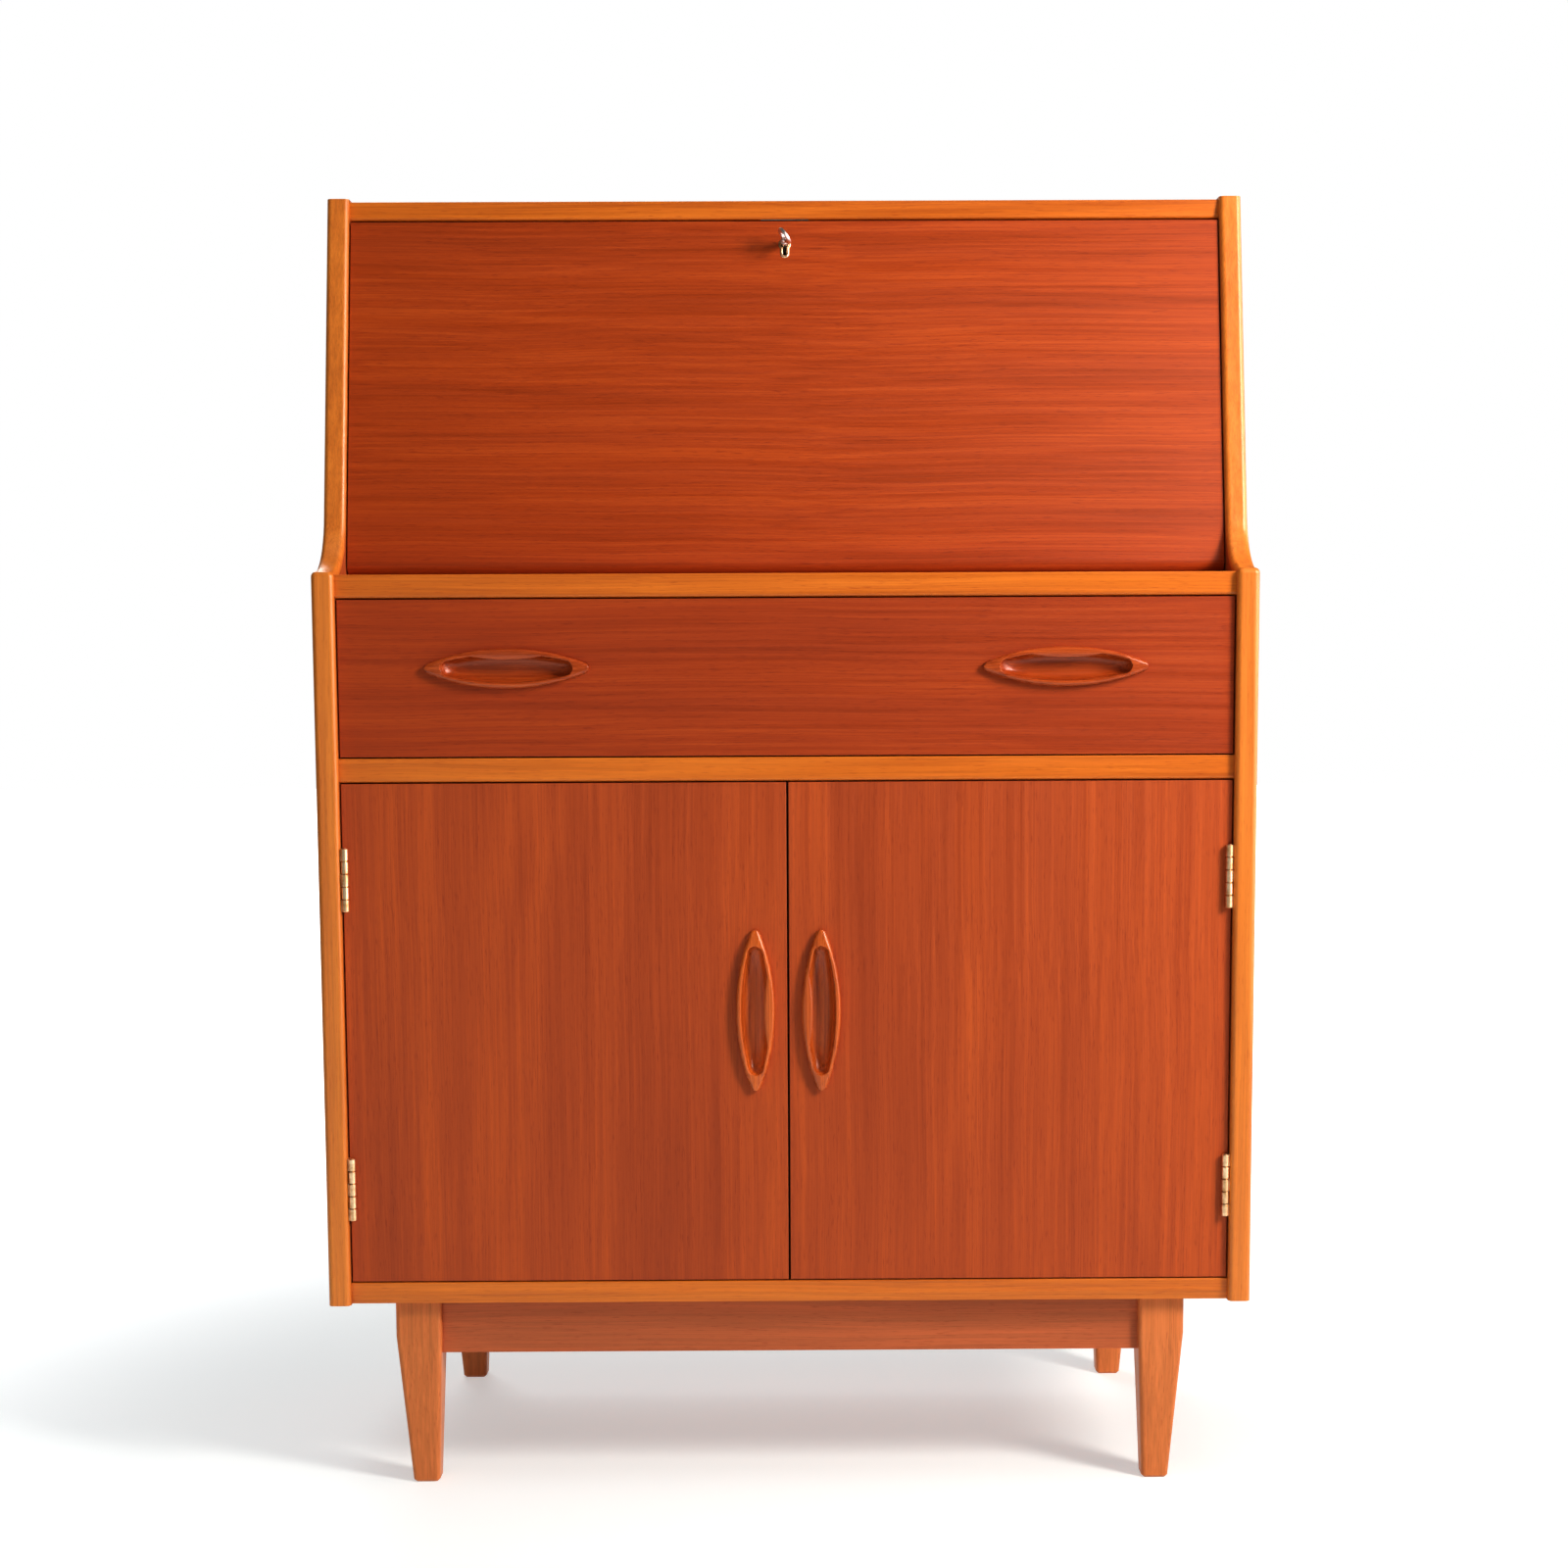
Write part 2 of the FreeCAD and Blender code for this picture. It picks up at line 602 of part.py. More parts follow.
def hinge_leaf(z, x0, x1, odd):
    """One leaf of a butt hinge with its share of the knuckles, bored for the pin."""
    low, high = z - HINGE_H / 2, z + HINGE_H / 2
    clear = KNUCKLE_R + HINGE_PLAY
    leaf = box(x0, x1, HINGE_Y + clear, HINGE_Y + LEAF_W, low, high)
    for z0, z1 in knuckle_spans(z, odd):
        arm = box(x0, x1, HINGE_Y, HINGE_Y + clear, z0, z1)
        knuckle = cylinder((HINGE_X, HINGE_Y, z0), (0, 0, 1), KNUCKLE_R, z1 - z0)
        knuckle = knuckle.makeChamfer(KNUCKLE_BEVEL, [e for e in knuckle.Edges if e.isClosed()])
        leaf = leaf.fuse([arm, knuckle])
    bore = cylinder((HINGE_X, HINGE_Y, low), (0, 0, 1), HINGE_PIN_R + FIT, HINGE_H)
    return leaf.cut(bore).removeSplitter()


def case_leaves():
    """Leaves on the inner face of the right-hand side."""
    return [without(hinge_leaf(z, INNER_X - LEAF_T, INNER_X, 0), *case_screws(FIT))
            for z in HINGE_ZS]


def door_leaves():
    """Leaves let into the hinge edge of the right-hand door."""
    return [without(hinge_leaf(z, DOOR_EDGE_X - LEAF_T, DOOR_EDGE_X, 1), *leaf_screws(FIT))
            for z in HINGE_ZS]


def hinge_pins():
    return [cylinder((HINGE_X, HINGE_Y, z - HINGE_H / 2), (0, 0, 1), HINGE_PIN_R, HINGE_H)
            for z in HINGE_ZS]


def door_panel():
    panel = box(DOOR_MEETING_GAP / 2, DOOR_EDGE_X, FACE_RECESS, FRONT_BACK, DOOR_Z0, DOOR_Z1)
    panel = panel.makeFillet(EASED, front_edges(panel, FACE_RECESS))
    seats = [box(DOOR_EDGE_X - LEAF_T, DOOR_EDGE_X, FACE_RECESS, HINGE_Y + LEAF_W + FIT,
                 z - HINGE_H / 2 - FIT, z + HINGE_H / 2 + FIT) for z in HINGE_ZS]
    pocket = handle_at(handle_blank(FIT), *DOOR_HANDLE_RIGHT)
    return without(panel, pocket, *seats, *leaf_screws(FIT))


def catch_centre():
    return DOOR_MEETING_GAP / 2 + 8.0 + CATCH_L / 2


def catch_body():
    x, y = catch_centre(), FRONT_BACK + CATCH_PLATE_T + LOOSE
    return box(x - CATCH_L / 2, x + CATCH_L / 2, y, y + CATCH_W, MID_BOTTOM - CATCH_H, MID_BOTTOM)


def catch_plate():
    x = catch_centre()
    return box(x - CATCH_L * 0.4, x + CATCH_L * 0.4, FRONT_BACK, FRONT_BACK + CATCH_PLATE_T,
               DOOR_Z1 - CATCH_H, DOOR_Z1 - 1.0)


# ---- drawer --------------------------------------------------------------------------------
def drawer_front():
    x = INNER_X - FRONT_GAP
    front = box(-x, x, FACE_RECESS, FRONT_BACK, MID_TOP + FRONT_GAP, DESK_BOTTOM - FRONT_GAP)
    front = front.makeFillet(EASED, front_edges(front, FACE_RECESS))
    pockets = [handle_at(handle_blank(FIT), *place) for place in DRAWER_HANDLES]
    groove = box(-DRAWER_IN_X, DRAWER_IN_X, FRONT_BACK - DRAWER_GROOVE, FRONT_BACK,
                 DRAWER_Z0 + DRAWER_BOTTOM_LIFT,
                 DRAWER_Z0 + DRAWER_BOTTOM_LIFT + DRAWER_BOTTOM_T + 2 * FIT)
    return without(front, groove, *pockets)


def drawer_side():
    side = box(DRAWER_IN_X, DRAWER_OUT_X, FRONT_BACK, DRAWER_BACK_Y,
               DRAWER_Z0, DRAWER_Z0 + DRAWER_SIDE_H)
    slide = box(DRAWER_OUT_X - RUNNER_ENTRY - SLIDE_PLAY, DRAWER_OUT_X, FRONT_BACK, DRAWER_BACK_Y,
                RUNNER_Z - SLIDE_PLAY, RUNNER_Z + RUNNER_H + SLIDE_PLAY)
    groove = box(DRAWER_IN_X, DRAWER_IN_X + DRAWER_GROOVE - 1.0, FRONT_BACK, DRAWER_BACK_Y,
                 DRAWER_Z0 + DRAWER_BOTTOM_LIFT,
                 DRAWER_Z0 + DRAWER_BOTTOM_LIFT + DRAWER_BOTTOM_T + 2 * FIT)
    return without(side, slide, groove)


def drawer_back():
    floor = DRAWER_Z0 + DRAWER_BOTTOM_LIFT + DRAWER_BOTTOM_T + 2 * FIT
    return box(-DRAWER_IN_X, DRAWER_IN_X, DRAWER_BACK_Y - DRAWER_SIDE_T, DRAWER_BACK_Y,
               floor, DRAWER_Z0 + DRAWER_SIDE_H - 6.0)


def drawer_bottom():
    x, z = DRAWER_IN_X + DRAWER_GROOVE - 1.5, DRAWER_Z0 + DRAWER_BOTTOM_LIFT + FIT
    return box(-x, x, FRONT_BACK, DRAWER_BACK_Y, z, z + DRAWER_BOTTOM_T).fuse(
        box(-DRAWER_IN_X + 1.0, DRAWER_IN_X - 1.0, FRONT_BACK - DRAWER_GROOVE + 0.5, FRONT_BACK,
            z, z + DRAWER_BOTTOM_T)).removeSplitter()


# ---- fall front ----------------------------------------------------------------------------
def keyhole(grow, depth, y):
    """Keyhole outline about the key axis, grown all round, running inwards from y."""
    width = KEYHOLE_SLOT / 2 + grow
    drop = KEYHOLE_L - KEYHOLE_R - KEYHOLE_SLOT / 2
    hole = cylinder((0, y, KEY_Z), (0, 1, 0), KEYHOLE_R + grow, depth)
    slot = box(-width, width, y, y + depth, KEY_Z - drop, KEY_Z)
    foot = cylinder((0, y, KEY_Z - drop), (0, 1, 0), width, depth)
    return hole.fuse([slot, foot]).removeSplitter()


def lock_space(play):
    inner = FALL_T / 2
    return box(-LOCK_W / 2 - play, LOCK_W / 2 + play, inner - LOCK_T - play, inner,
               FALL_L - LOCK_H - play, FALL_L)


def bracket_screws(play=0.0):
    made = []
    for step in (-1, 1):
        at = (STAY_IN_X - LOOSE - LUG_T - BRACKET_W / 2, FALL_T / 2 + BRACKET_T,
              STAY_PIN_Z + step * BRACKET_L * 0.36)
        made.append(screw(at, (0, -1, 0), play=play))
    return made


def pivot_pin(play=0.0):
    return cylinder((FALL_X - PIVOT_IN_FALL, 0, 0), (1, 0, 0), PIVOT_R + play,
                    PIVOT_IN_FALL + FALL_SIDE_GAP + PIVOT_IN_SIDE)


def fall_panel():
    half = FALL_T / 2
    panel = box(-FALL_X, FALL_X, -half, half, 0, FALL_L)
    panel = panel.fuse(cylinder((-FALL_X, 0, 0), (1, 0, 0), half, 2 * FALL_X)).removeSplitter()
    panel = panel.makeFillet(EASED, [e for e in front_edges(panel, -half) if e.BoundBox.ZMax > half])
    through = keyhole(ESCUTCHEON_WALL + FIT, FALL_T, -half)
    holes = [h for tool in bracket_screws(FIT) + [pivot_pin(FIT)] for h in pair(tool)]
    return leaned(without(panel, lock_space(FIT), through, *holes))


def escutcheon():
    rim = keyhole(ESCUTCHEON_WALL, ESCUTCHEON_T + 0.6, -FALL_T / 2 - 0.6)
    return leaned(rim.cut(keyhole(0.0, FALL_T, -FALL_T)))


def lock_case():
    """Steel box let into the fall: room for the key's bit below and for the bolt above."""
    y1 = FALL_T / 2
    y0 = y1 - LOCK_T
    case = box(-LOCK_W / 2, LOCK_W / 2, y0, y1, FALL_L - LOCK_H, FALL_L)
    room = KEY_BIT + LOOSE * 2
    bit_room = cylinder((0, y0 + LOCK_WALL, KEY_Z), (0, 1, 0), room, LOCK_T - 2 * LOCK_WALL)
    bolt_room = box(-BOLT_W / 2 - LOOSE, BOLT_W / 2 + LOOSE, bolt_y() - BOLT_T / 2 - LOOSE,
                    bolt_y() + BOLT_T / 2 + LOOSE, KEY_Z, FALL_L)
    entry = keyhole(LOOSE, LOCK_WALL + 1.0, y0)
    return leaned(without(case, bit_room, bolt_room, entry))


def bolt_y():
    return FALL_T / 2 - LOCK_T / 2


def lock_bolt():
    bolt = box(-BOLT_W / 2, BOLT_W / 2, bolt_y() - BOLT_T / 2, bolt_y() + BOLT_T / 2,
               FALL_L - BOLT_L, FALL_L)
    return leaned(bolt)


def key():
    """Flat-bowed key standing in the lock, its bow turned from upright by KEY_TILT."""
    face = -FALL_T / 2
    inner_end = bolt_y() + BOLT_T / 2 - LOOSE
    bow_y = face - KEY_OUT + KEY_BOW_R
    stem = cylinder((0, bow_y + KEY_BOW_R * 0.8, 0), (0, 1, 0), KEY_STEM_R,
                    inner_end - bow_y - KEY_BOW_R * 0.8)
    bow = cylinder((-KEY_BOW_T / 2, bow_y, 0), (1, 0, 0), KEY_BOW_R, KEY_BOW_T)
    eye = cylinder((-KEY_BOW_T, bow_y, 0), (1, 0, 0), KEY_BOW_HOLE_R, 2 * KEY_BOW_T)
    collar = cylinder((0, face - 8.0, 0), (0, 1, 0), KEY_STEM_R + 1.0, 2.0)
    bit = box(-1.2, 1.2, inner_end - 4.0, inner_end, -KEY_BIT, 0)
    whole = stem.fuse([bow, collar, bit]).cut(eye).removeSplitter()
    whole.rotate(V(0, 0, 0), Y_AXIS, -KEY_TILT)
    whole.translate(V(0, 0, KEY_Z))
    return leaned(whole)


def strike_centre_y():
    return fall_plane_y(bolt_y(), TOP_BOTTOM)


def strike_plate(play=0.0):
    y = strike_centre_y()
    plate = box(-STRIKE_L / 2 - play, STRIKE_L / 2 + play, y - STRIKE_W / 2 - play,
                y + STRIKE_W / 2 + play, TOP_BOTTOM, TOP_BOTTOM + STRIKE_T + play)
    slot = box(-BOLT_W / 2 - 1.0, BOLT_W / 2 + 1.0, y - BOLT_T, y + BOLT_T,
               TOP_BOTTOM, TOP_BOTTOM + STRIKE_T)
    return plate if play else plate.cut(slot)


def strike_pocket():
    """Recess for the strike plate and the mortise behind its slot."""
    y = strike_centre_y()
    mortise = box(-BOLT_W / 2 - 1.0, BOLT_W / 2 + 1.0, y - BOLT_T, y + BOLT_T,
                  TOP_BOTTOM, TOP_BOTTOM + BOLT_THROW + 1.5)
    return [strike_plate(FIT), mortise]


def top_board():
    return without(case_board("top_board"), *strike_pocket())


# ---- stays ---------------------------------------------------------------------------------
def stay_pin(play=0.0):
    """Rivet that joins the stay to the lug on the fall."""
    inner = STAY_IN_X - LOOSE - LUG_T
    shank = cylinder((inner - HEAD_T, STAY_PIN_Y, STAY_PIN_Z), (1, 0, 0), STUD_R + play,
                     STAY_OUT_X + LOOSE + HEAD_T * 2 - inner)
    heads = [cylinder((x, STAY_PIN_Y, STAY_PIN_Z), (1, 0, 0), STUD_R * 1.9, HEAD_T)
             for x in (inner - HEAD_T, STAY_OUT_X + LOOSE)]
    return shank if play else shank.fuse(heads).removeSplitter()


def stay_bracket():
    """Plate on the inside of the fall with an upstanding lug for the stay, and its rivet."""
    x1 = STAY_IN_X - LOOSE
    x0 = x1 - LUG_T
    inner = FALL_T / 2
    plate = box(x0 - BRACKET_W, x1, inner, inner + BRACKET_T,
                STAY_PIN_Z - BRACKET_L / 2, STAY_PIN_Z + BRACKET_L / 2)
    lug = box(x0, x1, inner, STAY_PIN_Y, STAY_PIN_Z - LUG_W / 2, STAY_PIN_Z + LUG_W / 2)
    eye = cylinder((x0, STAY_PIN_Y, STAY_PIN_Z), (1, 0, 0), LUG_W / 2, LUG_T)
    bracket = plate.fuse([lug, eye]).removeSplitter()
    return leaned(without(bracket, stay_pin(FIT), *bracket_screws(FIT)))


def stay_bar():
    """Slotted bar from the rivet on the fall to beyond the stud on the side."""
    pin = leaned(Part.Vertex(V(0, STAY_PIN_Y, STAY_PIN_Z))).Vertexes[0].Point
    way = V(0, STUD_Y - pin.y, STUD_Z - pin.z)
    nearest = way.Length
    lift = math.degrees(math.asin(STAY_PIN_Y / STAY_REACH))
    farthest = 2 * STAY_REACH * math.sin(math.radians((STAY_STUD_ANGLE - lift) / 2))
    end = farthest + STAY_END
    half, slot = STAY_W / 2, STUD_R + SLOT_PLAY
    bar = box(STAY_IN_X, STAY_OUT_X, 0, end, -half, half)
    bar = bar.fuse([cylinder((STAY_IN_X, y, 0), (1, 0, 0), half, STAY_T) for y in (0, end)])
    opening = box(STAY_IN_X, STAY_OUT_X, nearest - 1.0, farthest + 1.0, -slot, slot)
    ends = [cylinder((STAY_IN_X, y, 0), (1, 0, 0), slot, STAY_T)
            for y in (nearest - 1.0, farthest + 1.0)]
    eye = cylinder((STAY_IN_X, 0, 0), (1, 0, 0), STUD_R + FIT, STAY_T)
    bar = without(bar.removeSplitter(), opening, eye, *ends)
    bar.rotate(V(0, 0, 0), X_AXIS, math.degrees(math.atan2(way.z, way.y)))
    bar.translate(V(0, pin.y, pin.z))
    return bar


# ---- underframe ----------------------------------------------------------------------------
def leg_section(x0, x1, y0, y1, z):
    corners = [V(x0, y0, z), V(x1, y0, z), V(x1, y1, z), V(x0, y1, z), V(x0, y0, z)]
    return Part.makePolygon(corners)


def leg(top_y0):
    """Right-hand leg: square beside the aprons, then tapering to the foot, mostly on its outer faces."""
    shrink = (LEG_TOP_W - LEG_FOOT_W) / 2
    top = leg_section(LEG_INNER_X, LEG_INNER_X + LEG_TOP_W, top_y0, top_y0 + LEG_TOP_W, LEG_HEIGHT)
    foot_x = LEG_INNER_X + LEG_INNER_SPLAY
    foot_y = top_y0 + shrink
    foot = leg_section(foot_x, foot_x + LEG_FOOT_W, foot_y, foot_y + LEG_FOOT_W, 0)
    knee = top.copy()
    knee.translate(V(0, 0, -LEG_SQUARE))
    blank = Part.makeLoft([foot, knee], True).fuse(Part.makeLoft([knee, top], True))
    long_edges = [e for e in blank.Edges if e.BoundBox.ZLength > LEG_SQUARE * 0.9]
    rounded = blank.makeFillet(LEG_ROUND, long_edges)
    sole = [e for e in rounded.Edges if e.BoundBox.ZMax < FIT]
    return rounded.makeChamfer(SOLE_BEVEL, sole)


def front_leg():
    return leg(FRONT_LEG_Y)


def rear_leg():
    return leg(DEPTH - REAR_LEG_Y - LEG_TOP_W)


def cross_apron(y0):
    rail = box(-LEG_CENTRE_X, LEG_CENTRE_X, y0, y0 + APRON_T, APRON_BOTTOM, LEG_HEIGHT)
    legs = pair(front_leg()) + pair(rear_leg())
    return without(rail, *legs)


def side_apron():
    y0, y1 = FRONT_LEG_Y + LEG_TOP_W / 2, DEPTH - REAR_LEG_Y - LEG_TOP_W / 2
    rail = box(SIDE_APRON_IN_X, SIDE_APRON_IN_X + APRON_T, y0, y1, APRON_BOTTOM, LEG_HEIGHT)
    rail = without(rail, front_leg(), rear_leg())
    return max(rail.Solids, key=lambda solid: solid.Volume)


def block_at(corner_y, inwards):
    """Diagonal block in the corner between a cross apron and the right-hand side apron."""
    x, z = SIDE_APRON_IN_X, LEG_HEIGHT - BLOCK_H
    points = [(x - BLOCK_ARM, corner_y), (x, corner_y + inwards * BLOCK_ARM),
              (x, corner_y + inwards * BLOCK_INNER_ARM), (x - BLOCK_INNER_ARM, corner_y)]
    corners = [V(px, py, z) for px, py in points]
    block = prism(Part.makePolygon(corners + corners[:1]), (0, 0, BLOCK_H))
    return without(block, *frame_screws_at(corner_y, inwards, FIT))


def frame_screws_at(corner_y, inwards, play=0.0):
    reach = (BLOCK_ARM + BLOCK_INNER_ARM) / 2
    made = []
    for share in (0.3, 0.7):
        at = (SIDE_APRON_IN_X - reach * share, corner_y + inwards * reach * (1 - share),
              LEG_HEIGHT - BLOCK_H)
        made.append(screw(at, (0, 0, 1), FRAME_SCREW_R, FRAME_SCREW_HEAD_R, FRAME_SCREW_L, play))
    return made


BLOCK_CORNERS = [(APRON_Y0 + APRON_T, 1), (REAR_APRON_Y1 - APRON_T, -1)]


def frame_screws(play=0.0):
    return [s for corner, inwards in BLOCK_CORNERS for s in frame_screws_at(corner, inwards, play)]


# ---- all pieces ----------------------------------------------------------------------------
def both(shapes):
    return [s for shape in shapes for s in pair(shape)]


def pieces():
    side, front, rear = side_board(), front_leg(), rear_leg()
    door, door_handle = door_panel(), handle_solid()
    return {
        "side_left": [mirrored(side)],
        "side_right": [side],
        "side_lippings": pair(side_lipping()),
        "bottom_board": [cut_both_sides(case_board("bottom_board"), frame_screws(FIT))],
        "mid_board": [case_board("mid_board")],
        "desk_board": [case_board("desk_board")],
        "top_board": [top_board()],
        "rail_lippings": rail_lippings(),
        "back_panel": [back_panel()],
        "board_dowels": both(dowels()),
        "case_screws": both(case_screws()),
        "writing_floor": [writing_floor()],
        "pigeonhole_uprights": unit_uprights(),
        "pigeonhole_top": [unit_top()],
        "pigeonhole_trays": unit_trays(),
        "cupboard_shelf": [cupboard_shelf()],
        "shelf_pins": both([shelf_pin(y) for y in shelf_pin_ys()]),
        "drawer_runners": pair(drawer_runner()),
        "fall_stop": [fall_stop()],
        "strike_plate": [strike_plate()],
        "hinge_case_leaves": both(case_leaves()),
        "hinge_pins": both(hinge_pins()),
        "door_catches": pair(catch_body()),
        "stay_studs": pair(stud()),
        "fall_pivot_bushes": pair(bush()),
        "leg_front_left": [mirrored(front)],
        "leg_front_right": [front],
        "leg_rear_left": [mirrored(rear)],
        "leg_rear_right": [rear],
        "cross_aprons": [cross_apron(y) for y in (APRON_Y0, REAR_APRON_Y1 - APRON_T)],
        "side_aprons": pair(side_apron()),
        "corner_blocks": both([block_at(*corner) for corner in BLOCK_CORNERS]),
        "frame_screws": both(frame_screws()),
        "drawer_front": [drawer_front()],
        "drawer_side_left": [mirrored(drawer_side())],
        "drawer_side_right": [drawer_side()],
        "drawer_back": [drawer_back()],
        "drawer_bottom": [drawer_bottom()],
        "drawer_handle_left": [handle_at(door_handle, *DRAWER_HANDLES[1])],
        "drawer_handle_right": [handle_at(door_handle, *DRAWER_HANDLES[0])],
        "door_left": [mirrored(door)],
        "door_right": [door],
        "door_handle_left": [handle_at(door_handle, *DOOR_HANDLE_LEFT)],
        "door_handle_right": [handle_at(door_handle, *DOOR_HANDLE_RIGHT)],
        "hinge_leaves_left": [mirrored(leaf) for leaf in door_leaves()],
        "hinge_leaves_right": door_leaves(),
        "door_screws_left": [mirrored(s) for s in leaf_screws()],
        "door_screws_right": leaf_screws(),
        "catch_plate_left": [mirrored(catch_plate())],
        "catch_plate_right": [catch_plate()],
        "fall_panel": [fall_panel()],
        "fall_pivot_pins": pair(leaned(pivot_pin())),
        "stay_brackets": both([stay_bracket(), leaned(stay_pin())]),
        "bracket_screws": both([leaned(s) for s in bracket_screws()]),
        "escutcheon": [escutcheon()],
        "lock_case": [lock_case()],
        "lock_bolt": [lock_bolt()],
        "key": [key()],
        "stay_left": [mirrored(stay_bar())],
        "stay_right": [stay_bar()],
    }


os.makedirs("parts", exist_ok=True)
for name, solids in pieces().items():
    shape = solids[0] if len(solids) == 1 else Part.makeCompound(solids)
    shape = shape.copy()
    shape.translate(V(0, -CENTRE_Y, 0))
    shape.exportStep("parts/" + name + ".step")
    print(name, len(shape.Solids), round(shape.Volume / 1000.0, 2), shape.isValid())
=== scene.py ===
"""Looks of the drop-front writing desk: its carved pulls, key, keyhole liner and screws, a finish for every
piece, the floor, the lights and the camera. Everything is in metres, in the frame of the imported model."""
import json
import math

import bmesh
import bpy
import numpy as np
from mathutils import Matrix, Vector


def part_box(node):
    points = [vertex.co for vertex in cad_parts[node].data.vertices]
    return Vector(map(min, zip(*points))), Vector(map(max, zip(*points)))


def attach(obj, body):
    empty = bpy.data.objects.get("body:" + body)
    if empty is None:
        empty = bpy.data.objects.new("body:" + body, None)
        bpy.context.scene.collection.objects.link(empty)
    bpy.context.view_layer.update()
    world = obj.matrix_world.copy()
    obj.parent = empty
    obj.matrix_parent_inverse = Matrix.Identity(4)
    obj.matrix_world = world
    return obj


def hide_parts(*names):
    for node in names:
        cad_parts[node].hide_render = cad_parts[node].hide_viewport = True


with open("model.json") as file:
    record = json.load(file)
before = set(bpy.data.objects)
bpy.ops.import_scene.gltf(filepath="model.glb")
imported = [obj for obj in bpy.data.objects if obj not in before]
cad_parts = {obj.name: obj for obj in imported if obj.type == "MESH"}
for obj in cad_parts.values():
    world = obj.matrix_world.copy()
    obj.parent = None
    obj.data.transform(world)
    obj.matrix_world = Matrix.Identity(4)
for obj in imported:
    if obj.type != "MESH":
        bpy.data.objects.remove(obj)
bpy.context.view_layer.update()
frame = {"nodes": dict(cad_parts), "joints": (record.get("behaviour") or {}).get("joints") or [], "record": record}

MM = 0.001
FULL_TURN = 2 * math.pi

# ---- sizes of the pieces made here, in millimetres, and the same as the CAD's where it has them --
# Pulls: the pointed oval and its hollow before their tips are rounded, and the lip over the hollow.
PULL_L, PULL_W, PULL_TIP_R = 146.5, 32.0, 4.5
PULL_PROUD, PULL_SET_IN, FLANK_SHARE = 7.0, 9.0, 0.7
HOLLOW_L, HOLLOW_W, HOLLOW_TIP_R = 135.4, 23.5, 6.0
HOLLOW_DEPTH = 12.6
LIP_L, LIP_REACH, LIP_T = 78.0, 4.75, 3.4
# The outer shoulder is rounded over, the tips fall away, and the hollow's edge is rolled a little.
SHOULDER, TIP_DROP, EDGE_ROLL = 3.2, 2.2, 0.9
SHOULDER_SHARE, BEAD_SHARE, ROLL_SHARE = 0.75, 0.64, 0.3
TIP_POWER, HOLLOW_END_POWER = 6, 7
WALL_POWER, FLOOR_POWER = 0.72, 0.8
LIP_UNDERCUT, LIP_NOSE, LIP_NOSE_SHARE = 0.2, 1.0, 0.2
PULL_STATIONS, QUARTER_STEPS, FLOOR_STEPS = 150, 6, 24
# Key, which leans by KEY_TILT degrees, and the liner of its hole.
KEY_TILT = 38.0
KEY_BOW_R, KEY_BOW_OUT, KEY_BOW_OVAL = 6.0, 19.0, 0.98
KEY_WIRE_ACROSS, KEY_WIRE_THICK = 2.0, 1.7
KEY_BIT_T = 2.2
BOW_STEPS, WIRE_SIDES = 48, 16
KEYHOLE_R, KEYHOLE_SLOT, KEYHOLE_L = 2.8, 2.8, 12.2
LINER_WALL, LINER_PROUD, LINER_DEPTH = 2.4, 0.6, 3.0
LINER_DOME, DOME_STEPS = 0.9, 10
# Screws.
SCREW_HEAD_R, SCREW_R = 3.0, 1.5
SCREW_SHANK_END, SCREW_POINT = 9.0, 12.0
SLOT_W, SLOT_DEEP = 0.9, 0.8
HALF_HEAD_SIDES = 12
# Meshes are cleaned to the first two distances; a CAD solid's corners meet within the third, and a
# screw's flat head is everything within the fourth of its outermost point.
SAME_POINT, SHORT_EDGE, SAME_CORNER, HEAD_FLAT = 0.004, 0.002, 0.002, 0.05


# ---- finishes -------------------------------------------------------------------------------------
def linear(code):
    """Linear colour of an sRGB hex code."""
    parts = [int(code[i:i + 2], 16) / 255 for i in (0, 2, 4)]
    return [c / 12.92 if c <= 0.04045 else ((c + 0.055) / 1.055) ** 2.4 for c in parts] + [1.0]


def add(tree, kind, feeds=None, stops=None, **settings):
    """Adds a node. feeds gives its inputs, each a value or the output it is linked from, and stops gives a
    ramp's colours."""
    made = tree.nodes.new(kind)
    for key, value in settings.items():
        setattr(made, key, value)
    for key, value in (feeds or {}).items():
        if isinstance(value, bpy.types.NodeSocket):
            tree.links.new(value, made.inputs[key])
        else:
            made.inputs[key].default_value = value
    for i, (place, code) in enumerate(stops or []):
        stop = made.color_ramp.elements[i] if i < 2 else made.color_ramp.elements.new(place)
        stop.position = place
        stop.color = linear(code)
    return made


def finish(name):
    """A new material's tree, with its shader already joined to the output."""
    made = bpy.data.materials.new(name)
    made.use_nodes = True
    tree = made.node_tree
    return made, tree, tree.nodes["Principled BSDF"]


GRAIN_TURN = {"x": (0, 0, 0), "y": (0, 0, -math.pi / 2), "z": (0, math.pi / 2, 0)}
WANDER_MM, FIBRE_MM, PORE_MM, RELIEF_MM = 12.0, 1.1, 0.7, 0.07
PORE_SQUEEZE, SWELL_SQUEEZE, ARCHES = 0.06, 0.22, 46.0
# Bands, streaks and fibres: times as long as they are wide, detail, and share in the colour.
GRAIN_LAYERS = ((22.0, 1.5, 0.34), (90.0, 2.0, 0.36), (150.0, 1.0, 0.30))


